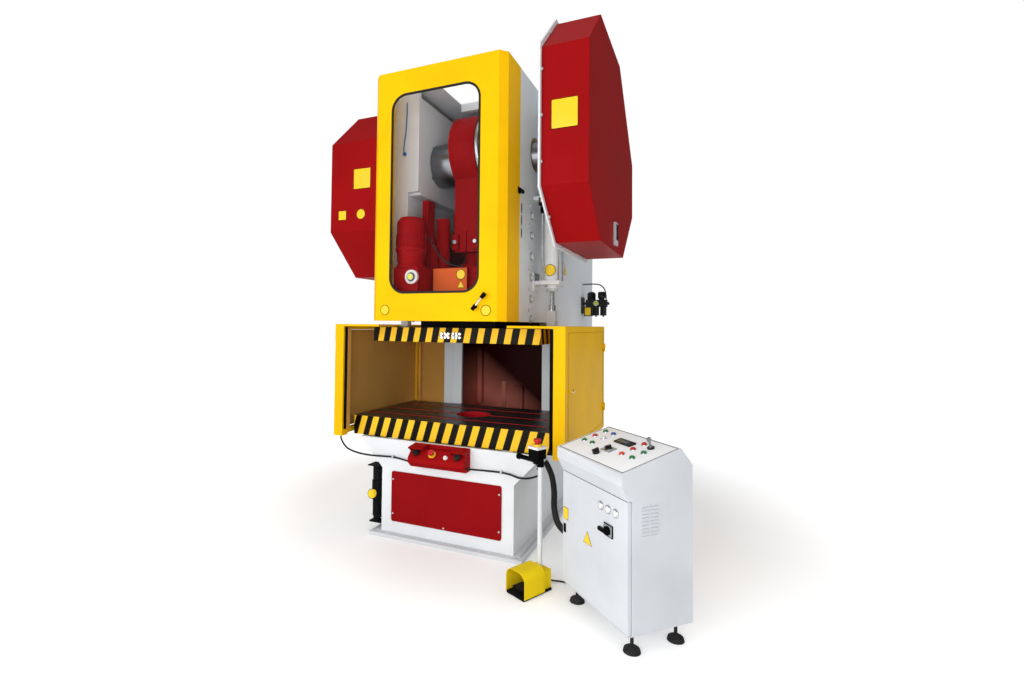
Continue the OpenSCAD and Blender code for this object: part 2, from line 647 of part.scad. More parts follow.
// ---------- rod and ram ----------
rod_c = crank_z + throw_e;
clear_x = throw_e + 2;
clear_z = 0.22 * throw_e + 2;
module connecting_rod() color("#A3171B") press() difference() {
    union() {
        xrod(-big_w / 2, big_w / 2, 2 * big_r, 0, rod_c, $fn = 96);
        span([-shank_w / 2, -shank_d / 2, rod_z], [shank_w / 2, shank_d / 2, rod_c - 180]);
        for (x = [-shank_w / 2 - 6, shank_w / 2 - 40]) span([x, -shank_d / 2 - 22, 1950],
            [x + 46, -shank_d / 2 + 1, 2056]);
    }
    // slot in which the crank pin swings: opened pivot, hidden inside the big end
    for (s = [-1, 1]) xrod(-big_w / 2 - 1, big_w / 2 + 1, pin_d + 2 * clear_z, s * clear_x, rod_c);
    span([-big_w / 2 - 1, -clear_x, rod_c - pin_d / 2 - clear_z],
        [big_w / 2 + 1, clear_x, rod_c + pin_d / 2 + clear_z]);
    translate([0, 0, rod_z - 1]) cylinder(d = screw_d + 0.6, h = adjust + 120);
    span([-3, -shank_d / 2 - 24, rod_z - 1], [3, 0, rod_z + 150]);
}
module rod_ring() color("#8F9598") press() {
    difference() {
        xrod(big_w / 2, big_w / 2 + 24, 2 * big_r - 16, 0, rod_c, $fn = 96);
        xrod(big_w / 2 - 1, big_w / 2 + 25, web_d + 2 * throw_e + 8, 0, rod_c, $fn = 96);
    }
    for (a = [0 : 30 : 330]) translate([big_w / 2 + 24, 237 * cos(a), rod_c + 237 * sin(a)])
        rotate([0, 90, 0]) hex_bolt(16, 8);
    for (x = [-shank_w / 2 + 17, shank_w / 2 - 17]) translate([x, -shank_d / 2 - 22, 2003])
        rotate([90, 0, 0]) hex_bolt(26, 14);
}
// adjusting screw with its collar and ball foot
module ram_screw() color("#A3171B") press() {
    translate([0, 0, block_z]) cylinder(d = screw_d, h = rod_z - block_z + 150);
    translate([0, 0, block_z]) cylinder(d = 214, h = 48);
}
module ram_block() color("#A3171B") press() {
    span([-block_w / 2, -block_front, plate_top], [block_w / 2, block_front, block_z]);
    for (s = [0, 1]) mirror([s, 0, 0]) {
        span([block_w / 2 - 46, -block_front, block_z - 1], [block_w / 2, block_front, 1960]);
        span([block_w / 2 - 46, -block_front, 1959], [block_w / 2, -block_front + 95, ram_tail]);
        span([block_w / 2 - 46, block_front - 95, 1959], [block_w / 2, block_front, ram_tail]);
        translate([block_w / 2 - 46 - 55, -165, block_z - 1]) cylinder(d = 100, h = 360);
        xz_plate(40 - block_front, 85 - block_front) translate([block_w / 2 - 45, 0]) polygon([[0, block_z - 1],
            [0, 2250], [-6, 2130], [-13, 2040], [-22, 1992], [-32, 1974], [-41, 1970], [-55, 1970], [-55, block_z - 1]]);
    }
    translate([-165, -block_front - 40, plate_top + 60]) cube([255, 42, block_z - plate_top - 70]);
}
module ram_plate() color("#1E1E1E") press() {
    span([-plate_w / 2, -plate_front, plate_z], [plate_w / 2, plate_back, plate_top]);
    for (x = [-62, -38, -14, 22, 46, 70], z = [34, 58])
        yrod(-plate_front - 22, -plate_front + 1, 17, x, plate_z + z);
}

// ---------- height adjustment ----------
gm_x = -285;
gm_y = -425;
module gear_motor() color("#A3171B") press() {
    translate([gm_x, gm_y, 1815]) cylinder(d = 178, h = 210);
    translate([gm_x, gm_y, 2025]) cylinder(d = 194, h = 84);
    translate([gm_x, gm_y, 2109]) cylinder(d1 = 194, d2 = 150, h = 30);
    translate([gm_x, gm_y, 1800]) cylinder(d = 196, h = 16);
    span([gm_x - 85, gm_y - 80, 1640], [gm_x + 100, -block_front - 2, 1800]);
    span([gm_x + 15, -block_front - 2 - eps, 1650], [gm_x + 95, -block_front, 1790]);
}
dial_x = -222;
dial_z = 1732;
module height_dial() color("#E8E8E6") press() {
    yrod(gm_y - 80 - 22, gm_y - 80 - seat, 92, dial_x, dial_z);
    yrod(gm_y - 80 - 34, gm_y - 80 - 22, 40, dial_x, dial_z);
}

// ---------- balance cylinders ----------
// square flanges joined by four tie rods, on brackets from the frame side
bal_sq = 134;
tie_at = bal_sq / 2 - 11;
module balance_cylinders() color("#E4E8EA") press() for (s = [0, 1]) mirror([s, 0, 0]) difference() {
    union() {
        translate([bal_x, 0, bal_z + 26]) cylinder(d = bal_d, h = bal_l);
        for (z = [bal_z, bal_z + 26 + bal_l]) translate([bal_x - bal_sq / 2, -bal_sq / 2, z])
            cube([bal_sq, bal_sq, 26]);
        for (x = [-tie_at, tie_at], y = [-tie_at, tie_at])
            translate([bal_x + x, y, bal_z + 25]) cylinder(d = 12, h = bal_l + 44);
        translate([cheek_x, -60, bal_z - 40]) cube([14, 120, 120]);
        translate([cheek_x + 14 - eps, -50, bal_z]) cube([bal_x - bal_sq / 2 - cheek_x - 14 + 2 * eps, 100, 26]);
        translate([bal_x, 0, bal_z - 42]) cylinder(d = 70, h = 43);
        translate([cheek_x, -40, bal_z + 26 + bal_l]) cube([bal_x - bal_sq / 2 - cheek_x + eps, 80, 26]);
    }
    translate([bal_x, 0, bal_z - 50]) cylinder(d = 32 + 2 * run_c, h = bal_l + 70);
}
module balance_rods() color("#C9CDD0") press() for (s = [0, 1]) mirror([s, 0, 0]) {
    translate([bal_x, 0, 1560]) cylinder(d = 32, h = bal_z + bal_l - 1640);
    translate([bal_x, 0, 1520]) cylinder(d = 50, h = 42);
    translate([bal_x - 30, -26, plate_top]) cube([60, 52, 122]);
    xrod(bal_x - 36, bal_x + 36, 24, 0, 1460);
}

// ---------- two hand box ----------
tb_y1 = -ped_front;
tb_x0 = -218;
tb_x1 = tb_x0 + box_w;
module box_shape(o) polygon([[tb_y1 - o, box_z + o], [tb_y1 - 62, box_z + o], [tb_y1 - 98 + o, box_z + 34 + o * 0.4],
    [tb_y1 - 98 + o, box_z + 62 - o], [tb_y1 - 46 + o, box_z + 114 - o * 1.4], [tb_y1 - o, box_z + 114 - o * 1.4]]);
palm_x = [tb_x0 + 52, tb_x1 - 52];
palm_y = tb_y1 - 60;
// cover over one palm button, with a notched cheek at each end
module box_roof(x0, x1) {
    yz_plate(x0, x1) polygon([[tb_y1, box_z + 140], [tb_y1 - 96, box_z + 128], [tb_y1 - 96, box_z + 122],
        [tb_y1 - 30, box_z + 130], [tb_y1, box_z + 130]]);
    for (x = [x0, x1 - 5]) yz_plate(x, x + 5) polygon([[tb_y1, box_z + 20], [tb_y1 - 98, box_z + 36],
        [tb_y1 - 98, box_z + 62], [tb_y1 - 54, box_z + 94], [tb_y1 - 96, box_z + 122], [tb_y1 - 96, box_z + 128],
        [tb_y1, box_z + 140]]);
}
palm_tilt = 45;
module palm_place(i) translate([palm_x[i], tb_y1 - 72, box_z + 88]) rotate([palm_tilt, 0, 0]) children();
module stop_place() translate([-50, tb_y1 - 72, box_z + 88]) rotate([palm_tilt, 0, 0]) children();
module two_hand_box() color("#B01A1E") press() {
    difference() {
        yz_plate(tb_x0, tb_x1) box_shape(0);
        for (i = [0, 1]) palm_place(i) translate([0, 0, -30]) cylinder(d = 22 + 2 * run_c, h = 60);
        stop_place() translate([0, 0, -30]) cylinder(d = 16 + 2 * run_c, h = 60);
    }
    span([tb_x0, tb_y1 - 6, box_z + 90], [tb_x1, tb_y1, box_z + 140]);
    stop_place() difference() {
        translate([0, 0, -1]) cylinder(d1 = 40, d2 = 50, h = 10);
        translate([0, 0, -2]) cylinder(d = 16 + 2 * run_c, h = 14);
    }
    box_roof(tb_x0, tb_x0 + 104);
    box_roof(tb_x1 - 104, tb_x1);
    translate([46, tb_y1 - 72, box_z + 88]) rotate([palm_tilt, 0, 0]) cylinder(d = 22, h = 10);
}
module palm_button(i) color("#141414") press() palm_place(i) {
    translate([0, 0, -14]) cylinder(d = 22, h = 16 + press_s);
    translate([0, 0, press_s + 1]) cylinder(d = palm_d, h = 13);
}
module palm_button_left() { palm_button(0); }
module palm_button_right() { palm_button(1); }
module box_stop_button() color("#C41E1E") press() stop_place() {
    translate([0, 0, -14]) cylinder(d = 16, h = 40);
    translate([0, 0, 15]) cylinder(d1 = 22, d2 = 32, h = 8);
    translate([0, 0, 23 - eps]) cylinder(d = 38, h = 13);
}

// ---------- air ----------
tank_x = -(ped_x + flare_w / 2) / 2 + 7.75;
tank_y = -375;
module air_tank() color("#17181A") press() {
    translate([tank_x, tank_y, 92]) cylinder(d = 62, h = 346);
    translate([tank_x - 52, tank_y - 45, 436]) cube([-ped_x - tank_x + 52, 90, 8]);
    translate([tank_x, tank_y, 205]) cylinder(d = 74, h = 130);
    translate([tank_x, tank_y, 60]) cylinder(d = 50, h = 33);
    for (z = [92, 400]) translate([tank_x, tank_y - 30, z]) cube([-ped_x - tank_x, 60, 12]);
    translate([tank_x - 40, tank_y - 36, 52]) cube([-ped_x - tank_x + 40, 72, 9]);
}
// air service unit on a bracket of the right side: body, domes, bowls, valve, inlet
fx = 590;
fy = 1450;
fz = 1600;
inlet_l = 22;
inlet_d = 13;
module air_service_unit() color("#2A2C2E") press() {
    translate([cheek_x, fy - 60, fz - 60]) cube([8, 120, 150]);
    translate([cheek_x + 8 - eps, fy - 25, fz + 20]) cube([fx - 94 - cheek_x - 8 + 2 * eps, 50, 24]);
    difference() {
        translate([fx - 94, fy - 42, fz]) cube([188, 84, 66]);
        translate([fx + 46, fy, fz + 50]) cylinder(d = 20 + 2 * run_c, h = 30);
    }
    difference() {
        translate([fx + 46, fy, fz + 65]) cylinder(d = 52, h = 14);
        translate([fx + 46, fy, fz + 64]) cylinder(d = 20 + 2 * run_c, h = 16);
    }
    translate([fx - 48, fy, fz + 65]) cylinder(d = 78, h = 60);
    translate([fx - 48, fy, fz + 125 - eps]) cylinder(d1 = 78, d2 = 40, h = 16);
    for (x = [-6, 62]) {
        translate([fx + x, fy, fz - 80]) cylinder(d = 58, h = 81);
        translate([fx + x, fy, fz - 92]) cylinder(d = 16, h = 13);
    }
    translate([fx - 112, fy - 34, fz - 86]) cube([72, 68, 87]);
    yrod(fy - 64, fy - 42 + eps, 48, fx + 7, fz + 32);
    translate([fx + 94 - eps, fy, fz + 32]) rotate([0, 90, 0]) difference() {
        cylinder(d = 26, h = inlet_l + eps);
        translate([0, 0, eps]) cylinder(d = inlet_d, h = inlet_l + 1);
    }
}
module regulator_knob() color("#17181A") press() translate([fx + 46, fy, 0]) {
    translate([0, 0, fz + 54]) cylinder(d = 20, h = 27);
    translate([0, 0, fz + 79 + seat]) cylinder(d = 70, h = 50);
    translate([0, 0, fz + 129]) cylinder(d1 = 70, d2 = 58, h = 12);
}

// ---------- foot pedal ----------
pedal_o = [572, -815];
module pedal() press() translate([pedal_o[0], pedal_o[1], 0]) rotate([0, 0, pedal_turn]) children();
hood_arc_r = 46;
module pedal_arch(o) hull() {
    translate([o, 10]) square([pedal_w - 2 * o, 1]);
    for (x = [hood_arc_r, pedal_w - hood_arc_r]) translate([x, pedal_h - hood_arc_r]) circle(hood_arc_r - o);
}
ppost = [84, 170];
module pedal_guard() color("#F2CE1B") pedal() {
    difference() {
        union() {
            xz_plate(0, pedal_l) pedal_arch(0);
            translate([20, pedal_l - 1, 10]) cube([pedal_w - 34, 62, pedal_h - 40]);
            translate([6, 0, 0]) cube([pedal_w - 12, pedal_l + 58, 12]);
        }
        xz_plate(-1, pedal_l - 4) difference() {
            pedal_arch(4);
            translate([0, 0]) square([pedal_w, 12]);
        }
    }
    xrod(2, pedal_w - 2, 10, 128, 40);
}
module pedal_treadle() color("#1B1B1B") pedal() difference() {
    union() {
        yz_plate(34, pedal_w - 34) polygon([[12, 44], [14, 38], [112, 26], [140, 26], [140, 54], [116, 54], [100, 40]]);
        xrod(34, pedal_w - 34, 26, 128, 40);
    }
    xrod(33, pedal_w - 33, 10 + 2 * run_c, 128, 40);
}

// post on the pedal with its switch box and grip
post_box_w = 68;
box_off = [-11, -13];
post_box_z = ppost_z - 66;
module post_top() pedal() translate([ppost[0], ppost[1], 0]) children();
module pedal_post() color("#E6E9EA") post_top() difference() {
    union() {
        translate([0, 0, pedal_h - 30]) cylinder(d = ppost_d, h = post_box_z - pedal_h + 31);
        translate([0, 0, post_box_z - 44]) cylinder(d = 40, h = 44);
        translate(box_off) {
            translate([-post_box_w / 2, -post_box_w / 2, post_box_z]) cube([post_box_w, post_box_w, 54]);
            translate([-post_box_w / 2 - 3, -post_box_w / 2 - 3, post_box_z + 54 - eps])
                cube([post_box_w + 6, post_box_w + 6, 12]);
            translate([0, 0, ppost_z - eps]) cylinder(d = 48, h = 12);
            translate([-140, 0, post_box_z - 14]) rotate([0, 90, 0]) cylinder(d = 26, h = 140);
            translate([-150, 0, post_box_z - 14]) rotate([0, 90, 0]) cylinder(d = 36, h = 14);
            translate([-16, -16, post_box_z - 30]) cube([32, 32, 31]);
        }
    }
    translate([box_off[0], box_off[1], ppost_z - 30]) cylinder(d = 18 + 2 * run_c, h = 50);
}
module post_stop_button() color("#C41E1E") post_top() translate(box_off) {
    translate([0, 0, ppost_z - 16]) cylinder(d = 18, h = 30 + press_s);
    translate([0, 0, ppost_z + 12 + press_s]) cylinder(d1 = 30, d2 = 34, h = 9);
    translate([0, 0, ppost_z + 21 + press_s - eps]) cylinder(d = 42, h = 13);
}

// ---------- console ----------
con_o = [863.7, -753.2];
module console() press() translate([con_o[0], con_o[1], 0]) rotate([0, 0, con_turn]) children();
// side outline, in (depth, height)
lip = 34;
door_t = 16;
module con_outline(o) polygon([[door_t + 4 + o, con_z0 + o], [door_t + 4 + o, con_z1 + o], [o, con_z1 + o],
    [-lip + o * 1.2, con_z1 + 66 + o * 0.4], [-lip + o * 1.2, desk_z0 - o], [desk_y1, desk_z1 - o],
    [con_d - o, desk_z1 - 78 - o], [con_d - o, con_z0 + o]]);
desk_a = atan2(desk_z1 - desk_z0, desk_y1 + lip);
// place on the sloping desk: x across, y back along the floor
module desk(x, y) translate([x, y, desk_z0 + (y + lip) * tan(desk_a)]) rotate([desk_a, 0, 0]) children();
cdoor_w = con_w - 8;
cpin_x = con_w - 11;
cpin_y = door_t / 2;
selector_at = [257, 33];
mode_at = [272, 94];
key_at = [438, 211];
msw_at = [409, 498];
module console_cabinet() color("#E9ECED") console() {
    difference() {
        union() {
            yz_plate(0, con_w) con_outline(0);
            translate([0, 0, con_z0]) cube([con_w, door_t + 5, 3]);
        }
        yz_plate(con_t, con_w - con_t) con_outline(con_t);
        translate([24, 0, con_z0 + 24]) cube([con_w - 48, door_t + 10, con_z1 - con_z0 - 48]);
        for (p = [mode_at, key_at]) desk(p[0], p[1]) translate([0, 0, -20]) cylinder(d = 16 + 2 * run_c, h = 30);
    }
    translate([cpin_x, cpin_y, con_z0 + 3 - eps]) cylinder(d = 8, h = 16);
    translate([cpin_x, cpin_y, con_z1 - 14]) cylinder(d = 8, h = 16);
    translate([-34, 150, 230]) rotate([0, 90, 0]) cylinder(d = 56, h = 34 + con_t);
    translate([110, 250, con_z0 - 22]) cylinder(d = 22, h = 22 + con_t);
}
module console_door() color("#E9ECED") console() {
    difference() {
        translate([4, 0, con_z0 + 5]) cube([cdoor_w, door_t, con_z1 - con_z0 - 10]);
        translate([4 + con_t, con_t, con_z0 + 5 + con_t]) cube([cdoor_w - 40, door_t, con_z1 - con_z0 - 10 - 2 * con_t]);
        translate([cpin_x, cpin_y, con_z0 + 4]) cylinder(d = 8 + 2 * pivot_c, h = 20);
        translate([cpin_x, cpin_y, con_z1 - 20]) cylinder(d = 8 + 2 * pivot_c, h = 20);
        translate([msw_at[0], -1, msw_at[1]]) rotate([-90, 0, 0]) cylinder(d = 14 + 2 * run_c, h = 10);
    }
    for (x = [349, 406, 463]) translate([x, 0, 591]) rotate([90, 0, 0]) cylinder(d = 32, h = 7);
    translate([3 + 12, -4, 352]) cube([20, 4 + eps, 44]);
    translate([376, -5, 470]) difference() {
        cube([66, 5 + eps, 56]);
        translate([33, 6, 28]) rotate([90, 0, 0]) cylinder(d = 14 + 2 * run_c, h = 8);
    }
}
module main_switch() color("#141414") console() translate([msw_at[0], 0, msw_at[1]]) {
    rotate([90, 0, 0]) translate([0, 0, -12]) cylinder(d = 14, h = 22);
    rotate([90, 0, 0]) translate([0, 0, 5 + seat]) cylinder(d = 40, h = 12);
    translate([-46, -31, -8]) cube([66, 14, 16]);
}
module console_feet() color("#1C1D1F") console() for (x = [52, con_w - 52], y = [58, con_d - 52])
    translate([x, y, 0]) {
        cylinder(d1 = 78, d2 = 70, h = 14);
        translate([0, 0, 14]) cylinder(d1 = 70, d2 = 26, h = 14);
        translate([0, 0, 20]) cylinder(d = 16, h = con_z0 - 20);
        translate([0, 0, con_z0 - 14]) hex_bolt(24, 10);
    }
module console_fittings() color("#1A1B1D") console() {
    desk(276, 186) translate([-62, -22, 0]) cube([124, 44, 7]);
    desk(mode_at[0], mode_at[1]) difference() {
        translate([-38, -25, 0]) cube([76, 50, 3]);
        translate([0, 0, -1]) cylinder(d = 22, h = 6);
    }
    desk(selector_at[0], selector_at[1]) {
        cylinder(d = 34, h = 14);
        translate([-6, -17, 13]) cube([12, 34, 10]);
    }
    desk(key_at[0], key_at[1]) difference() {
        cylinder(d = 34, h = 8);
        translate([0, 0, -1]) cylinder(d = 16 + 2 * run_c, h = 12);
    }
}
// push buttons of the desk: columns, rows
desk_buttons = [[59, 94], [59, 159], [59, 225], [131, 94], [129, 164], [131, 223],
    [377, 93], [377, 157], [377, 222], [454, 93], [454, 157]];
module console_buttons() color("#2E8B57") console() for (p = desk_buttons) desk(p[0], p[1]) {
    cylinder(d = 30, h = 5);
    translate([0, 0, 5 - eps]) cylinder(d = 24, h = 6);
}
module mode_selector() color("#222426") console() desk(mode_at[0], mode_at[1]) {
    translate([0, 0, -14]) cylinder(d = 16, h = 18);
    translate([0, 0, 3 + seat]) cylinder(d = 32, h = 9);
    translate([-6, -16, 12]) cube([12, 32, 9]);
}
module key_switch() color("#9EA3A6") console() desk(key_at[0], key_at[1]) {
    translate([0, 0, -14]) cylinder(d = 16, h = 20 + 8);
    translate([-1.5, -6, 13]) cube([3, 12, 22]);
    translate([-1.5, 0, 44]) rotate([0, 90, 0]) cylinder(d = 26, h = 3);
}

// ---------- cables ----------
// smooth route through hand chosen points, and a tube swept along it
function mid(p, i) = p[max(0, min(len(p) - 1, i))];
function cr(a, b, c, d, t) = 0.5 * (2 * b + (c - a) * t + (2 * a - 5 * b + 4 * c - d) * t * t
    + (3 * b - a - 3 * c + d) * t * t * t);
function route(p, n) = concat([for (i = [0 : len(p) - 2]) for (k = [0 : n - 1])
    cr(mid(p, i - 1), p[i], p[i + 1], mid(p, i + 2), k / n)], [p[len(p) - 1]]);
function unit(v) = v / norm(v);
function ring_at(q, i, d, m) = let (t = unit(mid(q, i + 1) - mid(q, i - 1)),
    s = unit(cross(t, abs(t[2]) > 0.9 ? [1, 0, 0] : [0, 0, 1])), w = cross(t, s))
    [for (k = [0 : m - 1]) q[i] + d / 2 * (s * cos(k * 360 / m) + w * sin(k * 360 / m))];
module tube(p, n, d, m = 8) {
    q = route(p, n);
    c = len(q);
    polyhedron([for (i = [0 : c - 1]) each ring_at(q, i, d, m)],
        concat([[for (k = [0 : m - 1]) k]], [for (i = [0 : c - 2]) for (k = [0 : m - 1])
            [i * m + k, (i + 1) * m + k, (i + 1) * m + (k + 1) % m, i * m + (k + 1) % m]],
            [[for (k = [m - 1 : -1 : 0]) (c - 1) * m + k]]));
}
// hangs from the left post to a clip on the base and on to the two hand box
curtain_path = [[-gx + 36, -500, guard_z0], [-gx + 36, -500, guard_z0 - 33], [-740, -490, 562], [-660, -478, 534],
    [-560, -466, 524], [-460, -455, 525], [-385, -455, 527], [-290, -482, 528],
    [-240, -500, 527], [tb_x0, -500, 527]];
module light_curtain_cable() color("#161718") press() tube(curtain_path, 2, 12);
box_path = [[tb_x1, -500, 527], [tb_x1 + 30, -500, 527], [310, -466, 521], [398, -455, 519],
    [460, -459, 514], [520, -462, 503], [572, -420, 498], [604, -325, 498],
    [594.8, -300, 511.9], [576.6, -300, 529]];
module box_cable() color("#161718") press() tube(box_path, 2, 12);
pedal_path = [[735.6, -661.1, 34], [744.6, -643.2, 34], [768, -612, 12], [810, -590, 5.2],
    [900, -590, 5.2], [1000, -610, 5.2], [1070, -630, 7], [1107, -648, 22],
    [1117.8, -652.9, 50], [1117.8, -652.9, 73]];
module pedal_cable() color("#161718") press() tube(pedal_path, 2, 9);
conduit_path = [[595.4, -200, 549], [613, -202, 532], [655, -235, 470], [688, -300, 400],
    [712, -380, 330], [755, -455, 272], [820, -510, 244], [880, -560, 232],
    [916.6, -594.6, 230], [945, -622.7, 230]];
module conduit() color("#111214") press() tube(conduit_path, 2, 38, 12);

base();
pedestal();
cheek_left();
cheek_right();
frame_web();
front_panel();
fasteners();
bed();
plain_bearings();
hood_shell();
window_seal();
window_pane();
hood_handles();
hood_hinges();
guard_frame_left();
guard_frame_right();
guard_door_left();
guard_door_right();
light_curtains();
gear_cover();
flywheel_cover();
cover_plates();
crankshaft();
bull_gear();
pinion_shaft();
flywheel();
drive_motor();
motor_pulley();
connecting_rod();
rod_ring();
ram_screw();
ram_block();
ram_plate();
gear_motor();
height_dial();
balance_cylinders();
balance_rods();
two_hand_box();
palm_button_left();
palm_button_right();
box_stop_button();
air_tank();
air_service_unit();
regulator_knob();
pedal_guard();
pedal_treadle();
pedal_post();
post_stop_button();
console_cabinet();
console_door();
console_feet();
console_fittings();
console_buttons();
main_switch();
mode_selector();
key_switch();
light_curtain_cable();
box_cable();
pedal_cable();
conduit();
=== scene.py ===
# %% [markdown]
# # A C-frame mechanical press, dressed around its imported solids
# The press is a tall welded frame shaped like a letter C. A crank high up in
# the frame drives a ram down onto a slotted bed. A yellow hood with a window
# closes the front, red covers hide the gear and the flywheel at the sides, and
# a control console and a foot pedal stand in front on the right.
# The solids come in as a fixed frame. Everything here only adds finish and detail.

# %% Load the frame
import math
import bmesh
import bpy
from mathutils import Matrix, Vector


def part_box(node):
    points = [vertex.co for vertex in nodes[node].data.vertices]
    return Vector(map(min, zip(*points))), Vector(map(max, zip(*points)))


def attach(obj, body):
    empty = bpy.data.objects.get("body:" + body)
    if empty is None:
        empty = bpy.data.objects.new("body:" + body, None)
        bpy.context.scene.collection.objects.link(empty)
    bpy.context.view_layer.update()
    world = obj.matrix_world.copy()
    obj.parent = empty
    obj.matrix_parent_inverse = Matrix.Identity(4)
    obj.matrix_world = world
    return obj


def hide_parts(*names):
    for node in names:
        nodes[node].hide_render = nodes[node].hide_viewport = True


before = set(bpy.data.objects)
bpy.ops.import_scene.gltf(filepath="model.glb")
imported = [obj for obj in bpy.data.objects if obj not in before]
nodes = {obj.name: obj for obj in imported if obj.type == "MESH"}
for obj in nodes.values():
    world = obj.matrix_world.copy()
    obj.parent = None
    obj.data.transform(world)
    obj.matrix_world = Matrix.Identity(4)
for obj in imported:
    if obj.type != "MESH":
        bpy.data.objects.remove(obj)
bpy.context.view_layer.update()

# %% [markdown]
# ## Where things are
# Most of the press is easiest to describe from the ram's own axis, so one
# helper turns millimetres from that axis into metres in the shared frame. The
# console and the pedal stand turned on the floor, so each has a place of its own.

# %% Places on the press, the console and the pedal
ram_axis_y = -0.720
desk_front, desk_height = -34, 790
desk_run, desk_rise = 321, 86
desk_slope = math.atan2(desk_rise, desk_run)


def on_press(x, y, z):
    """Millimetres from the ram's axis, as a point in metres."""
    return Vector((x / 1000, ram_axis_y + y / 1000, z / 1000))


def press_at(x, y, z):
    """A matrix that moves a piece to such a point."""
    return Matrix.Translation(on_press(x, y, z))


def from_axis(y):
    """A depth in the shared frame as millimetres from the ram's axis."""
    return (y - ram_axis_y) * 1000


def turned_place(x0, y0, degrees):
    """The matrix of a thing that stands on the floor, turned about its corner."""
    return press_at(x0, y0, 0) @ Matrix.Rotation(math.radians(degrees), 4, "Z")


console_at = turned_place(863.7, -753.2, -44.7)
pedal_at = turned_place(572, -815, -26.7)


def on_desk(x, y, lift=0.0):
    """A matrix on the sloping desk: x across, y back, its Z axis square to the desk."""
    z = desk_height + (y - desk_front) * math.tan(desk_slope)
    spot = console_at @ Matrix.Translation((x / 1000, y / 1000, z / 1000))
    return spot @ Matrix.Rotation(desk_slope, 4, "X") @ Matrix.Translation((0, 0, lift))


rod_low, rod_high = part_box("connecting_rod")
print("ram axis at y =", ram_axis_y, "rod spans", rod_low[1], rod_high[1])

# %% [markdown]
# ## Camera
# The camera stands at about eye height for a seated person, in front and to
# the right, and looks a little up. A short lens takes in the whole height of
# the machine from under four metres away.

# %% Camera
camera_spot = (1.5920, -4.2073, 1.4225)
yaw, pitch, roll = math.radians(23.8), math.radians(1.8), math.radians(0.6)
camera_data = bpy.data.cameras.new("front_right_camera")
camera_data.sensor_width = 36
camera_data.sensor_fit = "HORIZONTAL"
camera_data.lens = 18.516796875
camera_data.shift_x = 0.0297
camera_data.shift_y = -0.0325
camera = bpy.data.objects.new("front_right_camera", camera_data)
bpy.context.scene.collection.objects.link(camera)
forward = Vector((-math.sin(yaw) * math.cos(pitch), math.cos(yaw) * math.cos(pitch),
                  math.sin(pitch)))
right = Vector((math.cos(yaw), math.sin(yaw), 0))
upward = right.cross(forward)
right_rolled = right * math.cos(roll) + upward * math.sin(roll)
up_rolled = -right * math.sin(roll) + upward * math.cos(roll)
turn = Matrix((right_rolled, up_rolled, -forward)).transposed()
camera.matrix_world = Matrix.Translation(camera_spot) @ turn.to_4x4()
bpy.context.scene.camera = camera
print("camera at", tuple(round(v, 3) for v in camera.location))

# %% [markdown]
# ## Small makers
# A few helpers make meshes in code: turned shapes from a profile, blocks with
# rounded edges, flat outlines given a thickness, and swept tubes. Each one
# returns an object that is already placed, with its finish where one is named.

# %% Mesh helpers
def add_mesh(name, bm, place=None, finish=None, smooth=35):
    """Turns a bmesh into an object, with faces smoothed up to an angle."""
    bmesh.ops.recalc_face_normals(bm, faces=bm.faces)
    for face in bm.faces:
        face.smooth = True
    limit = math.radians(smooth)
    for edge in bm.edges:
        edge.smooth = len(edge.link_faces) == 2 and edge.calc_face_angle(0) < limit
    mesh = bpy.data.meshes.new(name)
    bm.to_mesh(mesh)
    bm.free()
    piece = bpy.data.objects.new(name, mesh)
    bpy.context.scene.collection.objects.link(piece)
    if place is not None:
        mesh.transform(place)
    if finish is not None:
        mesh.materials.append(finish)
    return piece


def circle(sides):
    """Points round a circle of radius one."""
    return [(math.cos(k * math.tau / sides), math.sin(k * math.tau / sides)) for k in range(sides)]


def bridge(bm, low, high):
    """Faces between two rings of points. A ring of one point is a tip."""
    sides = max(len(low), len(high))
    for k in range(sides):
        n = (k + 1) % sides
        if len(low) == 1:
            bm.faces.new((low[0], high[k], high[n]))
        elif len(high) == 1:
            bm.faces.new((low[k], low[n], high[0]))
        else:
            bm.faces.new((low[k], low[n], high[n], high[k]))


def bridge_all(bm, rings):
    """Joins each ring to the next and closes both ends."""
    for low, high in zip(rings, rings[1:]):
        bridge(bm, low, high)
    for ring in (rings[0], rings[-1]):
        if len(ring) > 1:
            bm.faces.new(ring)


def soften(bm, edges, rounding):
    """Rounds edges by a radius in millimetres."""
    if rounding > 0:
        bmesh.ops.bevel(bm, geom=edges, offset=rounding / 1000, segments=2, profile=0.7,
                        affect="EDGES")


def turned(name, profile, place=None, finish=None, sides=48):
    """A lathe shape: (radius, height) pairs in millimetres, spun about Z."""
    bm = bmesh.new()
    rings = []
    for radius, height in profile:
        spots = circle(sides) if radius > 1e-6 else [(0, 0)]
        rings.append([bm.verts.new((radius / 1000 * c, radius / 1000 * s, height / 1000))
                      for c, s in spots])
    bridge_all(bm, rings)
    return add_mesh(name, bm, place, finish)


def block(name, low, high, rounding=1.0, place=None, finish=None):
    """A box between two corners in millimetres, with its edges rounded."""
    bm = bmesh.new()
    bmesh.ops.create_cube(bm, size=1)
    for vert in bm.verts:
        for axis in range(3):
            vert.co[axis] = (low[axis] if vert.co[axis] < 0 else high[axis]) / 1000
    soften(bm, bm.edges[:], rounding)
    return add_mesh(name, bm, place, finish)


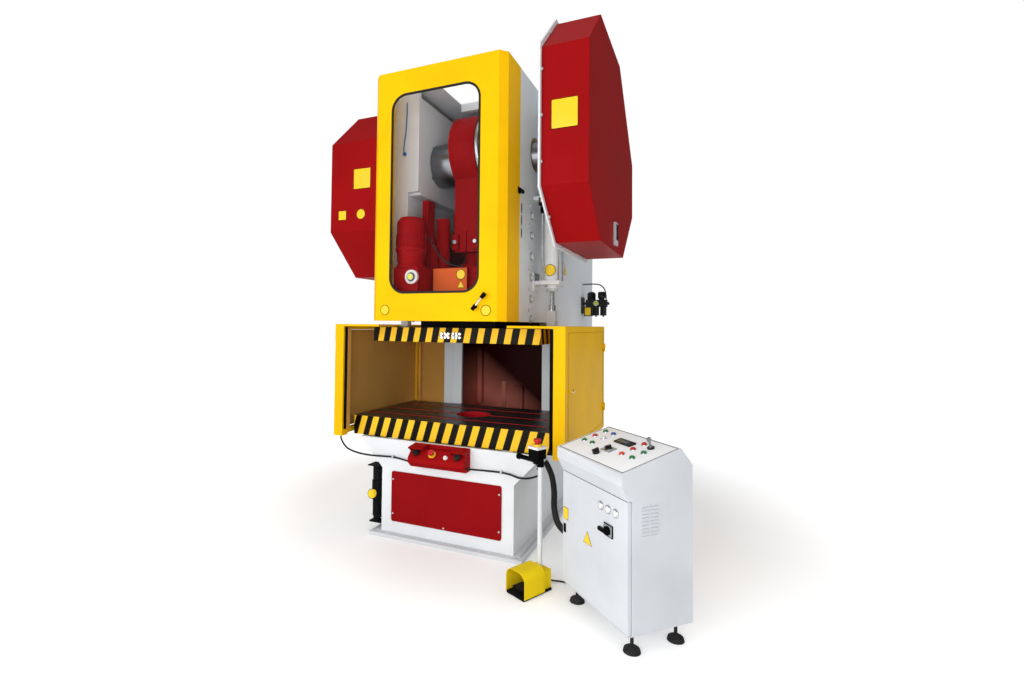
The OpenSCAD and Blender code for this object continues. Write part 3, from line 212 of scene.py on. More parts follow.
def cut_plate(name, outline, thickness, place=None, finish=None, rounding=0.4):
    """A flat outline in millimetres in XY, given a thickness along Z, with softened edges."""
    bm = bmesh.new()
    face = bm.faces.new([bm.verts.new((x / 1000, y / 1000, 0)) for x, y in outline])
    top = bmesh.ops.extrude_face_region(bm, geom=[face])["geom"]
    bmesh.ops.translate(bm, vec=(0, 0, thickness / 1000),
                        verts=[v for v in top if isinstance(v, bmesh.types.BMVert)])
    rim = [e for e in bm.edges if abs(e.verts[0].co.z - e.verts[1].co.z) < 1e-7]
    soften(bm, rim, rounding)
    return add_mesh(name, bm, place, finish)


def round_outline(width, height, radius, steps=6):
    """The outline of a rectangle with round corners, centred on zero."""
    points = []
    for cx, cy, start in ((1, 1, 0), (-1, 1, 90), (-1, -1, 180), (1, -1, 270)):
        for k in range(steps + 1):
            a = math.radians(start + 90 * k / steps)
            points.append((cx * (width / 2 - radius) + radius * math.cos(a),
                           cy * (height / 2 - radius) + radius * math.sin(a)))
    return points


def ring_outline(radius, sides=40):
    return [(radius * c, radius * s) for c, s in circle(sides)]


def facing(point, out, up=(0, 0, 1)):
    """A matrix at a point whose Z axis looks out of a surface and whose Y axis points up."""
    z = Vector(out).normalized()
    x = Vector(up).cross(z).normalized()
    y = z.cross(x)
    return Matrix.Translation(point) @ Matrix((x, y, z)).transposed().to_4x4()


def join(name, pieces):
    """Joins finished pieces into one object, keeping their materials."""
    bpy.ops.object.select_all(action="DESELECT")
    for piece in pieces:
        piece.select_set(True)
    bpy.context.view_layer.objects.active = pieces[0]
    bpy.ops.object.join()
    pieces[0].name = name
    pieces[0].data.name = name
    return pieces[0]


print("mesh helpers ready")

# %% [markdown]
# ## Cables
# Three cables hang or lie free: one from the light curtain to the two hand
# box, one from the foot pedal to the console, and a ribbed conduit from the
# press to the console. Each follows the same points as the solid that holds its
# place. A bevelled curve would be quicker to make, but the conduit's ribs need a
# radius that changes along the way, so all of them are tubes swept along a line.
# A fourth lead is clipped to the front of the base.

# %% Routes and swept cables
def smooth_route(points, steps):
    """A smooth line in metres through points in millimetres from the ram's axis."""
    line = []
    last = len(points) - 1
    for i in range(last):
        a, b, c, d = points[max(i - 1, 0)], points[i], points[i + 1], points[min(i + 2, last)]
        for k in range(steps):
            t = k / steps
            line.append(tuple(0.5 * (2 * b[j] + (c[j] - a[j]) * t
                                     + (2 * a[j] - 5 * b[j] + 4 * c[j] - d[j]) * t * t
                                     + (3 * b[j] - a[j] - 3 * c[j] + d[j]) * t ** 3)
                              for j in range(3)))
    line.append(points[-1])
    return [on_press(*p) for p in line]


def spaced(line, step):
    """Points a fixed distance apart along a line, ending at its last point."""
    out, left = [line[0].copy()], step
    for a, b in zip(line, line[1:]):
        a = a.copy()
        while (b - a).length >= left:
            a = a + (b - a).normalized() * left
            out.append(a.copy())
            left = step
        left -= (b - a).length
    return out + [line[-1].copy()]


def line_length(line):
    return sum((b - a).length for a, b in zip(line, line[1:]))


def tube_along(name, line, radii, finish=None, sides=16):
    """A tube swept along points, with one radius in millimetres for each point."""
    bm = bmesh.new()
    rings, side = [], None
    for i, point in enumerate(line):
        ahead = (line[min(i + 1, len(line) - 1)] - line[max(i - 1, 0)]).normalized()
        side = ahead.orthogonal() if side is None else side - ahead * side.dot(ahead)
        side.normalize()
        other = ahead.cross(side)
        rings.append([bm.verts.new(point + (side * c + other * s) * (radii[i] / 1000))
                      for c, s in circle(sides)])
    bridge_all(bm, rings)
    return add_mesh(name, bm, finish=finish, smooth=60)


def cable(name, route, diameter):
    """A round cable along a smooth route, with the line that it follows and its length."""
    line = smooth_route(route, 10)
    length = line_length(line)
    print(name, "is", round(length, 3), "m long")
    return tube_along(name, line, [diameter / 2] * len(line)), line, length


curtain_route = [[-781, -500, 651], [-781, -500, 618], [-740, -490, 562], [-660, -478, 534],
                 [-560, -466, 524], [-460, -455, 525], [-385, -455, 527], [-290, -482, 528],
                 [-240, -500, 527], [-218, -500, 527]]
box_route = [[182, -500, 527], [212, -500, 527], [310, -466, 521], [398, -455, 519],
             [460, -459, 514], [520, -462, 503], [572, -420, 498], [604, -325, 498],
             [594.8, -300, 511.9], [576.6, -300, 529]]
pedal_route = [[735.6, -661.1, 34], [744.6, -643.2, 34], [768, -612, 12], [810, -590, 5.2],
               [900, -590, 5.2], [1000, -610, 5.2], [1070, -630, 7], [1107, -648, 22],
               [1117.8, -652.9, 50], [1117.8, -652.9, 73]]
conduit_route = [[595.4, -200, 549], [613, -202, 532], [655, -235, 470], [688, -300, 400],
                 [712, -380, 330], [755, -455, 272], [820, -510, 244], [880, -560, 232],
                 [916.6, -594.6, 230], [945, -622.7, 230]]
rib_step, rib_radius, groove_radius = 0.0035, 19.0, 17.4

curtain_lead, curtain_line, curtain_length = cable("curtain_lead", curtain_route, 12)
box_lead = cable("box_lead", box_route, 12)[0]
pedal_lead, pedal_line, pedal_length = cable("pedal_lead", pedal_route, 9)
conduit_line = smooth_route(conduit_route, 12)
rib_line = spaced(conduit_line, rib_step)
rib_radii = [rib_radius if k % 2 else groove_radius for k in range(len(rib_line))]
supply_conduit = tube_along("supply_conduit", rib_line, rib_radii)

# %% The cables ride with the frame in place of their solids
for piece, node in ((curtain_lead, "light_curtain_cable"), (box_lead, "box_cable"),
                    (pedal_lead, "pedal_cable"), (supply_conduit, "conduit")):
    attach(piece, "frame")
    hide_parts(node)

# %% [markdown]
# ## Shared surface effects
# Real sheet steel is never one flat colour. Paint has a faint orange peel and
# small shifts of tone, dust settles on the upper faces, and edges are rubbed.
# Each effect is one node group with named inputs, placed in every material
# that needs it with its own values.

# %% Helpers that wire nodes
def new_group(name, inputs, outputs):
    """A shader node group from named plain inputs and the names of its number outputs."""
    tree = bpy.data.node_groups.new(name, "ShaderNodeTree")
    for label, value in inputs.items():
        kind = "NodeSocketVector" if isinstance(value, tuple) else "NodeSocketFloat"
        socket = tree.interface.new_socket(name=label, in_out="INPUT", socket_type=kind)
        socket.default_value = value
    for label in outputs:
        tree.interface.new_socket(name=label, in_out="OUTPUT", socket_type="NodeSocketFloat")
    return tree, tree.nodes.new("NodeGroupInput").outputs, tree.nodes.new("NodeGroupOutput").inputs


def feed(tree, value, socket):
    """Links another socket to this one, or sets its plain value."""
    if isinstance(value, bpy.types.NodeSocket):
        tree.links.new(value, socket)
    else:
        socket.default_value = value


def add_math(tree, operation, a, b=None, c=None, clamp=False):
    """A Math node fed by sockets or numbers. Returns its output socket."""
    node = tree.nodes.new("ShaderNodeMath")
    node.operation = operation
    node.use_clamp = clamp
    for k, value in enumerate((a, b, c)):
        if value is not None:
            feed(tree, value, node.inputs[k])
    return node.outputs[0]


def add_ramp(tree, value, low, high, to_low=0.0, to_high=1.0):
    """A clamped Map Range node: value from low..high goes to to_low..to_high."""
    node = tree.nodes.new("ShaderNodeMapRange")
    for label, number in (("Value", value), ("From Min", low), ("From Max", high),
                          ("To Min", to_low), ("To Max", to_high)):
        feed(tree, number, node.inputs[label])
    return node.outputs["Result"]


def add_mix(tree, factor, a, b):
    """A colour Mix node. a and b are sockets or colours."""
    node = tree.nodes.new("ShaderNodeMix")
    node.data_type = "RGBA"
    for k, value in ((0, factor), (6, a), (7, b)):
        feed(tree, value, node.inputs[k])
    return node.outputs[2]


def add_noise(tree, vector, scale, detail=2.0, rough=0.5):
    node = tree.nodes.new("ShaderNodeTexNoise")
    for label, value in (("Vector", vector), ("Scale", scale), ("Detail", detail),
                         ("Roughness", rough)):
        feed(tree, value, node.inputs[label])
    return node.outputs["Fac"]


def add_place(tree):
    """The place on the object, in metres of the shared frame."""
    return tree.nodes.new("ShaderNodeTexCoord").outputs["Object"]


def add_split(tree, vector):
    """The X, Y and Z of a vector."""
    node = tree.nodes.new("ShaderNodeSeparateXYZ")
    tree.links.new(vector, node.inputs[0])
    return node.outputs


def add_vector_math(tree, operation, a, b):
    node = tree.nodes.new("ShaderNodeVectorMath")
    node.operation = operation
    tree.links.new(a, node.inputs[0])
    tree.links.new(b, node.inputs[1])
    return node.outputs


def add_share(tree, a, b, amount):
    """The product of two masks and an amount, kept between nought and one."""
    return add_math(tree, "MULTIPLY", add_math(tree, "MULTIPLY", a, b), amount, clamp=True)


print("node helpers ready")

# %% Edge wear group
# A Bevel node gives the normal that a rounded edge would have. Where it differs
# from the real normal there is an edge, and noise breaks the rubbed line up.
edge_wear, given, out = new_group(
    "Edge wear", {"Width": 0.003, "Patch Scale": 14.0, "Amount": 0.5}, ["Mask"])
bevel = edge_wear.nodes.new("ShaderNodeBevel")
bevel.samples = 3
edge_wear.links.new(given["Width"], bevel.inputs["Radius"])
geometry = edge_wear.nodes.new("ShaderNodeNewGeometry")
likeness = add_vector_math(edge_wear, "DOT_PRODUCT", bevel.outputs["Normal"],
                           geometry.outputs["Normal"])["Value"]
near_edge = add_ramp(edge_wear, likeness, 0.985, 0.80)
patches = add_noise(edge_wear, add_place(edge_wear), given["Patch Scale"], 5.0, 0.7)
broken = add_ramp(edge_wear, patches, 0.48, 0.66)
edge_wear.links.new(add_share(edge_wear, near_edge, broken, given["Amount"]), out["Mask"])
print(edge_wear.name, "has", len(edge_wear.nodes), "nodes")

# %% Dust group
# Dust lies on faces that look up and is blown thin in patches.
dust, given, out = new_group("Settled dust", {"Patch Scale": 5.0, "Amount": 0.2}, ["Mask"])
geometry = dust.nodes.new("ShaderNodeNewGeometry")
tilt = add_split(dust, geometry.outputs["Normal"])["Z"]
looks_up = add_ramp(dust, tilt, 0.2, 0.95, 0.03, 1.0)
cloud = add_noise(dust, add_place(dust), given["Patch Scale"], 6.0, 0.6)
patches = add_ramp(dust, cloud, 0.35, 0.75)
dust.links.new(add_share(dust, looks_up, patches, given["Amount"]), out["Mask"])
print(dust.name, "has", len(dust.nodes), "nodes")

# %% Paint skin group
# Fine orange peel for the bump, and a slow change of tone over a panel.
paint_skin, given, out = new_group(
    "Paint skin", {"Peel Scale": 260.0, "Tone Scale": 2.2}, ["Height", "Tone"])
place = add_place(paint_skin)
peel = add_noise(paint_skin, place, given["Peel Scale"], 2.0, 0.5)
wave = add_noise(paint_skin, place, 6.0, 1.0, 0.4)
height = add_math(paint_skin, "ADD", add_math(paint_skin, "MULTIPLY", peel, 0.25),
                  add_math(paint_skin, "MULTIPLY", wave, 0.75))
paint_skin.links.new(height, out["Height"])
paint_skin.links.new(add_noise(paint_skin, place, given["Tone Scale"], 4.0, 0.55), out["Tone"])
print(paint_skin.name, "has", len(paint_skin.nodes), "nodes")

# %% Cutter marks group
# Fine parallel lines along one axis, as a milling cutter or a lathe tool leaves.
cutter_marks, given, out = new_group(
    "Cutter marks", {"Along": (1.0, 60.0, 1.0), "Scale": 9.0}, ["Height", "Tone"])
place = add_place(cutter_marks)
stretched = add_vector_math(cutter_marks, "MULTIPLY", place, given["Along"])[0]
lines = add_noise(cutter_marks, stretched, given["Scale"], 4.0, 0.65)
cutter_marks.links.new(lines, out["Height"])
cutter_marks.links.new(add_noise(cutter_marks, place, 7.0, 5.0, 0.6), out["Tone"])
print(cutter_marks.name, "has", len(cutter_marks.nodes), "nodes")

# %% Hazard stripe group
# Slanted bands from a place along a face plus its height. Offset shifts them.
hazard_bands, given, out = new_group(
    "Hazard bands", {"Across": 0.0, "Up": 0.0, "Pitch": 0.1, "Slant": -0.4, "Offset": 0.0,
                     "Share": 0.5}, ["Mask"])
leaning = add_math(hazard_bands, "MULTIPLY_ADD", given["Up"], given["Slant"], given["Across"])
shifted = add_math(hazard_bands, "ADD", leaning, given["Offset"])
phase = add_math(hazard_bands, "FRACT", add_math(hazard_bands, "DIVIDE", shifted, given["Pitch"]))
hazard_bands.links.new(add_math(hazard_bands, "LESS_THAN", phase, given["Share"]), out["Mask"])
print(hazard_bands.name, "has", len(hazard_bands.nodes), "nodes")

# %% Throat zone group
# The inside of the throat is sprayed red up to a line set back from its front.
# The zone is a box, so that a plate that runs on outside it keeps its white.
throat_half_width, throat_back, throat_floor = 0.3865, 0.262, 0.62
throat_zone, given, out = new_group(
    "Throat zone", {"Front": -0.28, "Roof": 1.50}, ["Mask", "Painted Light Fall"])
place = add_split(throat_zone, add_place(throat_zone))
inside = add_math(throat_zone, "LESS_THAN", add_math(throat_zone, "ABSOLUTE", place["X"]),
                  throat_half_width)
for test, axis, limit in (("GREATER_THAN", "Y", given["Front"]), ("LESS_THAN", "Y", throat_back),
                          ("LESS_THAN", "Z", given["Roof"]), ("GREATER_THAN", "Z", throat_floor)):
    side_of = add_math(throat_zone, test, place[axis], limit)
    inside = add_math(throat_zone, "MULTIPLY", inside, side_of)
throat_zone.links.new(inside, out["Mask"])
# Painted light and shade: a slope across the throat, darker high on the right and paler low on the
# left, copies how light falls into it.
painted_light_slope = add_math(throat_zone, "MULTIPLY_ADD", place["X"], -0.9,
                add_math(throat_zone, "MULTIPLY", place["Z"], -1.1))
throat_zone.links.new(add_ramp(throat_zone, painted_light_slope, -1.02, -0.62), out["Painted Light Fall"])
print("groups:", [g.name for g in bpy.data.node_groups])

# %% [markdown]
# ## Finishes
# Most of the press is sprayed steel. One maker builds a paint from its colour:
# a slow change of tone, dust on top, and edges rubbed through to the primer.
# The shader's plain numbers sit on its own sockets.

# %% Colours and small material helpers
dust_colour = "A9A49B"


def srgb(code, alpha=1.0):
    """A colour written as six hex digits, as linear numbers."""
    parts = [int(code[k:k + 2], 16) / 255 for k in (0, 2, 4)]
    return tuple(p / 12.92 if p <= 0.04045 else ((p + 0.055) / 1.055) ** 2.4
                 for p in parts) + (alpha,)


def mixed(colour, other, share):
    return tuple(a * (1 - share) + b * share for a, b in zip(colour[:3], other[:3])) + (1.0,)


def scaled(colour, factor):
    return tuple(min(1.0, part * factor) for part in colour[:3]) + (1.0,)


def new_material(name, **values):
    """A material with one Principled shader. Values go on the shader's own sockets."""
    material = bpy.data.materials.new(name)
    material.use_nodes = True
    tree = material.node_tree
    shader = tree.nodes["Principled BSDF"]
    for label, value in values.items():
        shader.inputs[label.replace("_", " ")].default_value = value
    return material, tree, shader


def add_group(tree, group, **values):
    """Places a node group with its own values, and returns its outputs."""
    node = tree.nodes.new("ShaderNodeGroup")
    node.node_tree = group
    for label, value in values.items():
        feed(tree, value, node.inputs[label.replace("_", " ")])
    return node.outputs


def add_tone(tree, tone, dark, pale):
    """A colour that drifts between a dark and a pale shade with the slow tone."""
    return add_mix(tree, add_ramp(tree, tone, 0.3, 0.7), dark, pale)


def set_gloss(tree, shader, tone, spread, least):
    """Lets the roughness follow the slow tone."""
    gloss = add_math(tree, "MULTIPLY_ADD", tone, spread, least)
    tree.links.new(gloss, shader.inputs["Roughness"])


def set_bump(tree, shader, height, strength):
    bump = tree.nodes.new("ShaderNodeBump")
    bump.inputs["Strength"].default_value = strength
    bump.inputs["Distance"].default_value = 0.001
    tree.links.new(height, bump.inputs["Height"])
    tree.links.new(bump.outputs["Normal"], shader.inputs["Normal"])


# %% Paint makers
def paint(name, code, rubbed="8A8580", rough=0.34, wear=0.55, dusty=0.14, tone=0.10, peel=0.12):
    """Sprayed paint with tone, dust and rubbed edges."""
    material, tree, shader = new_material(name, Metallic=0.0, Coat_Weight=0.0,
                                          Coat_Roughness=0.12, Specular_IOR_Level=0.02)
    colour = srgb(code)
    skin = add_group(tree, paint_skin)
    worn = add_group(tree, edge_wear, Amount=wear)["Mask"]
    dusted = add_group(tree, dust, Amount=dusty)["Mask"]
    toned = add_tone(tree, skin["Tone"], scaled(colour, 1 - tone), scaled(colour, 1 + tone * 0.5))
    rubbed_through = add_mix(tree, worn, toned, srgb(rubbed))
    finished = add_mix(tree, dusted, rubbed_through, mixed(srgb(dust_colour), colour, 0.88))
    tree.links.new(finished, shader.inputs["Base Color"])
    gloss = add_math(tree, "MULTIPLY_ADD", skin["Tone"], 0.16, rough - 0.08)
    set_gloss(tree, shader, dusted, 0.5, gloss)
    set_bump(tree, shader, skin["Height"], peel)
    return material


def framed_paint(name, code, inner_shaded_red, inner_lit_red):
    """White frame paint that turns red inside the throat, with painted light and shade there."""
    material, tree, shader = new_material(name, Metallic=0.0, Specular_IOR_Level=0.05)
    colour = srgb(code)
    skin = add_group(tree, paint_skin)
    worn = add_group(tree, edge_wear, Amount=0.35)["Mask"]
    dusted = add_group(tree, dust, Amount=0.12)["Mask"]
    zone = add_group(tree, throat_zone)
    toned = add_tone(tree, skin["Tone"], scaled(colour, 0.92), scaled(colour, 1.04))
    # The throat's red runs from painted shade to painted light along that slope.
    throat_red_light_and_shade = add_mix(tree, zone["Painted Light Fall"], srgb(inner_shaded_red), srgb(inner_lit_red))
    cloud = add_ramp(tree, skin["Tone"], 0.4, 0.75, 0.0, 0.25)
    clouded = add_mix(tree, cloud, throat_red_light_and_shade, srgb(inner_shaded_red))
    rubbed_through = add_mix(tree, worn, toned, srgb("B9BBBA"))
    aged = add_mix(tree, dusted, rubbed_through, srgb(dust_colour))
    tree.links.new(add_mix(tree, zone["Mask"], aged, clouded), shader.inputs["Base Color"])
    set_gloss(tree, shader, skin["Tone"], 0.16, 0.3)
    set_bump(tree, shader, skin["Height"], 0.12)
    return material


def red_with_painted_shade_below(name, code, shade_code, height):
    """Red paint that turns near black below a height: painted shade, where the part lies in shadow.
    """
    material, tree, shader = new_material(name, Metallic=0.0, Specular_IOR_Level=0.02)
    colour = srgb(code)
    skin = add_group(tree, paint_skin)
    worn = add_group(tree, edge_wear, Amount=0.5)["Mask"]
    toned = add_tone(tree, skin["Tone"], scaled(colour, 0.9), scaled(colour, 1.05))
    over = add_ramp(tree, add_split(tree, add_place(tree))["Z"], height - 0.008, height)
    shaded_below = add_mix(tree, over, srgb(shade_code), toned)
    tree.links.new(add_mix(tree, worn, shaded_below, srgb("5C2320")), shader.inputs["Base Color"])
    set_gloss(tree, shader, skin["Tone"], 0.16, 0.32)
    set_bump(tree, shader, skin["Height"], 0.12)
    return material


# %% Paints
# The two throat reds are painted shade, 300204, and painted light, E58A78.
frame_paint = framed_paint("frame_white_and_throat_red", "DFE5EA", "300204", "E58A78")
base_grey = paint("base_plate_grey", "D2D5D8", rubbed="A4A6A6", rough=0.45, wear=0.3)
machine_white = paint("machine_white_paint", "E4E7EA", rubbed="B9BBBA", wear=0.35)
washer_grey = paint("washer_grey", "A4A8AC", rubbed="B8BABC", rough=0.4)
panel_white = paint("desk_overlay_white", "F1F3F5", rubbed="E0E2E4", rough=0.3, wear=0.1,
                    dusty=0.0, tone=0.03)
console_white = paint("console_powder_coat", "D5D9DE", rubbed="C4C6C6", rough=0.42, wear=0.25,
                      peel=0.2)
press_red = paint("press_red_paint", "9A1114", rubbed="5A1412", dusty=0.05)
panel_red = paint("front_panel_red_paint", "8E1014", rubbed="5A1412", dusty=0.05)
ram_red = paint("ram_red_paint", "900C10", rubbed="5C1A18", rough=0.36, dusty=0.03)
# Painted shade: the ram block turns near black below the hood's lower edge, where it sits in
# shadow.
ram_red_shaded_below = red_with_painted_shade_below("ram_red_painted_shade_below", "8E0A0E", "101113", 1.475)
# Painted reflection: an orange-red for the ram block's front face, the warm light that the yellow
# hood throws on it.
ram_front_reflection_red = paint("ram_front_painted_hood_reflection", "D2602F", rubbed="5C2320", rough=0.4, dusty=0.08)
# Painted light: a pale pinkish red for the rib in the throat, where light strikes the red paint.
rib_painted_light_red = paint("throat_rib_painted_light_red", "C8806E", rubbed="8A4A3C", rough=0.4, dusty=0.05)
slot_red = paint("slot_red_primer", "B81C26", rubbed="7A1512", rough=0.5, wear=0.2)
hood_yellow = paint("hood_yellow_paint", "FCC20C", rubbed="C99A1A", wear=0.4)
guard_yellow = paint("guard_yellow_paint", "F2BC12", rubbed="A8842A", wear=0.5)
# Painted shade: a darker brown-yellow for guard faces in shade: the doors' inner faces, the rear
# posts' inner faces, the rails' undersides and the light curtains.
guard_painted_shade = paint("guard_yellow_painted_shade", "D09C50", rubbed="6A5230", rough=0.5, dusty=0.05)
pedal_yellow = paint("pedal_yellow_paint", "F0D01C", rubbed="6B6455", wear=0.8)
grip_black = paint("stove_enamel_black", "0A0A0B", rubbed="4A4A4A", rough=0.3, wear=0.4,
                   dusty=0.05)
motor_grey = paint("motor_grey_paint", "3E4A52", rubbed="8B8F92")
black_paint = paint("black_enamel", "17181A", rubbed="5E5E5E", rough=0.4, wear=0.6)
bolt_grey = paint("bolt_head_grey", "C3C7CA", rubbed="7E8082", rough=0.3, wear=0.5)
print("paints:", len(bpy.data.materials))

# %% [markdown]
# ## Bare metal, rubber and plastic
# The bed top is ground cast iron, so fine lines run across it. Shafts are
# turned steel. Cables, seals and grips are black rubber, dull and a little grey
# where they have been handled.

# %% Metals
def bare_metal(name, code, rough=0.32, along=(1.0, 60.0, 1.0), scale=9.0, tone=0.25, depth=0.15,
               metallic=1.0):
    """Machined metal: cutter lines in the bump, and cloudy tone in the colour."""
    material, tree, shader = new_material(name, Metallic=metallic)
    colour = srgb(code)
    marks = add_group(tree, cutter_marks, Along=along, Scale=scale)
    grime = add_group(tree, dust, Amount=0.18)["Mask"]
    toned = add_tone(tree, marks["Tone"], mixed(colour, (0, 0, 0), tone), colour)
    tree.links.new(add_mix(tree, grime, toned, srgb("6F6A62")), shader.inputs["Base Color"])
    set_gloss(tree, shader, marks["Tone"], 0.3, rough - 0.12)
    set_bump(tree, shader, marks["Height"], depth)
    return material


no_lines, ground_along_x = (1.0, 1.0, 1.0), (1.0, 45.0, 1.0)
turned_on_x, turned_on_z, bored_on_z = (40.0, 1.0, 1.0), (1.0, 1.0, 30.0), (1.0, 1.0, 40.0)
ground_iron = bare_metal("ground_bed_iron", "585A5C", 0.38, ground_along_x, 8.0, metallic=0.75)
turned_steel = bare_metal("turned_steel", "B9BDC0", 0.32, turned_on_x, 12.0)
crank_steel = bare_metal("crank_journal_steel", "8E9298", 0.3, turned_on_x, 12.0)
chrome = bare_metal("hard_chrome", "DADDE0", 0.2, turned_on_z, 10.0, tone=0.08, depth=0.04)
gear_iron = bare_metal("gear_iron", "6A6E71", 0.45, no_lines, 50.0)
bronze = bare_metal("bearing_bronze", "A8823F", 0.4, bored_on_z, 10.0)
dark_steel = bare_metal("blackened_steel", "3A3B3D", 0.4, no_lines, 70.0)
print("with metals:", len(bpy.data.materials))


# %% Rubber and plastic
def moulded(name, code, rough=0.5, grain=180.0, depth=0.12, tone=0.12):
    """Rubber or moulded plastic, with a fine grain and a worn bloom on its edges."""
    material, tree, shader = new_material(name, Metallic=0.0, Specular_IOR_Level=0.3)
    colour = srgb(code)
    skin = add_group(tree, paint_skin, Peel_Scale=grain, Tone_Scale=6.0)
    worn = add_group(tree, edge_wear, Width=0.0015, Amount=0.35, Patch_Scale=40.0)["Mask"]
    dusted = add_group(tree, dust, Amount=0.14, Patch_Scale=11.0)["Mask"]
    toned = add_mix(tree, skin["Tone"], scaled(colour, 1 - tone), scaled(colour, 1 + tone * 0.5))
    bloomed = add_mix(tree, worn, toned, mixed(colour, (0.6, 0.6, 0.6), 0.35))
    tree.links.new(add_mix(tree, dusted, bloomed, srgb("9A958C")), shader.inputs["Base Color"])
    set_gloss(tree, shader, skin["Tone"], 0.2, rough - 0.1)
    set_bump(tree, shader, skin["Height"], depth)
    return material


black_rubber = moulded("black_rubber", "1A1B1C", 0.6)
grip_rubber = moulded("grip_rubber", "161616", 0.7, grain=320.0, depth=0.3)
black_plastic = moulded("black_plastic", "151617", 0.42)
red_plastic = moulded("red_button_plastic", "C21A1C", 0.3, depth=0.05)
green_plastic = moulded("green_button_plastic", "0E7A48", 0.3, depth=0.05)
blue_plastic = moulded("blue_button_plastic", "1C4FA0", 0.3, depth=0.05)
orange_plastic = moulded("orange_button_plastic", "D8431C", 0.3, depth=0.05)
white_plastic = moulded("white_plastic", "E8E8E6", 0.35, depth=0.05)
yellow_plastic = moulded("yellow_plastic", "F2C21A", 0.4, depth=0.05)
label_yellow = moulded("yellow_plate_enamel", "F8D223", 0.35, depth=0.04, tone=0.06)
label_grey = moulded("grey_plate", "9DA1A4", 0.4, depth=0.04)
screen_glass = moulded("display_glass_black", "0B0D0E", 0.08, depth=0.0, tone=0.02)
dial_lime = moulded("dial_lime_yellow", "D9E04A", 0.35, depth=0.03)
bowl_black = moulded("glossy_bowl_black", "101112", 0.16, depth=0.02, tone=0.05)
hose_blue = moulded("blue_air_hose", "2F6FB4", 0.35, depth=0.02)


# %% Clear sheet
def clear_sheet(name, code, alpha):
    """A thin clear pane: mostly see-through, with the shine of its surface."""
    material, tree, shader = new_material(name, Metallic=0.0, Transmission_Weight=0.0, IOR=1.2,
                                          Specular_IOR_Level=0.2, Alpha=alpha)
    smear = add_group(tree, paint_skin, Peel_Scale=30.0, Tone_Scale=1.6)["Tone"]
    streaked = add_mix(tree, smear, srgb(code), mixed(srgb(code), (1, 1, 1), 0.3))
    tree.links.new(streaked, shader.inputs["Base Color"])
    set_gloss(tree, shader, smear, 0.1, 0.05)
    return material


clear_pane = clear_sheet("clear_window_pane", "9FB4BC", 0.004)
print("finishes:", len(bpy.data.materials))

# %% [markdown]
# ## Hazard stripes
# The front of the bed and the ram's plate are black with slanted yellow bands.
# The bands come from the place on the face, so they stay on the metal as the
# ram moves. The ends of the ram plate use the depth in place of the width.

# %% Striped paints
def striped(name, axis, pitch, slant, offset, share=0.5):
    """Black paint with slanted yellow bands, counted along one axis."""
    material, tree, shader = new_material(name, Metallic=0.0, Specular_IOR_Level=0.12)
    place = add_split(tree, add_place(tree))
    bands = add_group(tree, hazard_bands, Across=place[axis], Up=place["Z"], Pitch=pitch,
                      Slant=slant, Offset=offset, Share=share)["Mask"]
    skin = add_group(tree, paint_skin)
    worn = add_group(tree, edge_wear, Amount=0.7, Width=0.004)["Mask"]
    dusted = add_group(tree, dust, Amount=0.1)["Mask"]
    banded = add_mix(tree, bands, srgb("060606"), srgb("F8C42A"))
    smoke = add_ramp(tree, skin["Tone"], 0.4, 0.75, 0.0, 0.06)
    shaded = add_mix(tree, smoke, banded, srgb("5A4A20"))
    rubbed = add_mix(tree, worn, shaded, srgb("6A6660"))
    tree.links.new(add_mix(tree, dusted, rubbed, srgb("5E5A50")), shader.inputs["Base Color"])
    set_gloss(tree, shader, skin["Tone"], 0.16, 0.3)
    set_bump(tree, shader, skin["Height"], 0.12)
    return material


bed_stripes = striped("bed_edge_stripes", "X", 0.0958, -0.3, 0.0502)
plate_stripes = striped("ram_plate_stripes", "X", 0.0952, -0.19, 0.067, 0.47)
side_stripes = striped("plate_end_stripes", "Y", 0.0942, 0.2, 0.0)
print("with stripes:", len(bpy.data.materials))

# %% [markdown]
# ## Dressing the solids
# A solid from the frame keeps its mesh. It gets a weld and a small bevel as
# modifiers, so that its edges catch the light, and its faces can carry more
# than one finish: the bed is ground on top, striped in front and red inside.

# %% How a solid is dressed
def dress(node, finish, rounding=1.5, picks=()):
    """Gives a solid its finish, and picks other finishes for faces by centre and normal."""
    piece = nodes[node]
    mesh = piece.data
    mesh.materials.clear()
    mesh.materials.append(finish)
    for k, (other, test) in enumerate(picks, start=1):
        mesh.materials.append(other)
        for face in mesh.polygons:
            c = face.center
            if test(c.x * 1000, from_axis(c.y), c.z * 1000, face.normal):
                face.material_index = k
    if rounding > 0:
        weld = piece.modifiers.new("weld", "WELD")
        weld.merge_threshold = 0.00002
        soft = piece.modifiers.new("soft_edges", "BEVEL")
        soft.width = rounding / 1000
        soft.segments = 2
        soft.limit_method = "ANGLE"
        soft.angle_limit = math.radians(40)
        soft.harden_normals = True


def on_console(test):
    """Lets a test of faces use the console's own millimetres: across, back, up."""
    return lambda x, y, z, n: test(*(v * 1000 for v in console_at.inverted() @ on_press(x, y, z)))


def above_stop_slope(x, y, z):
    """How far a point stands off the box's sloping face near its stop button, or -1."""
    lift = ((z - 588) - (y + 515)) * math.sqrt(0.5)
    return lift if abs(x + 50) < 27 and -470 > y > -560 else -1


def along_pull_bar(x, z):
    """How far a point lies from the middle of the hood's slanted pull bar, along it."""
    slant = math.radians(40)
    return (x - 304) * math.cos(slant) + (z - 1562) * math.sin(slant)


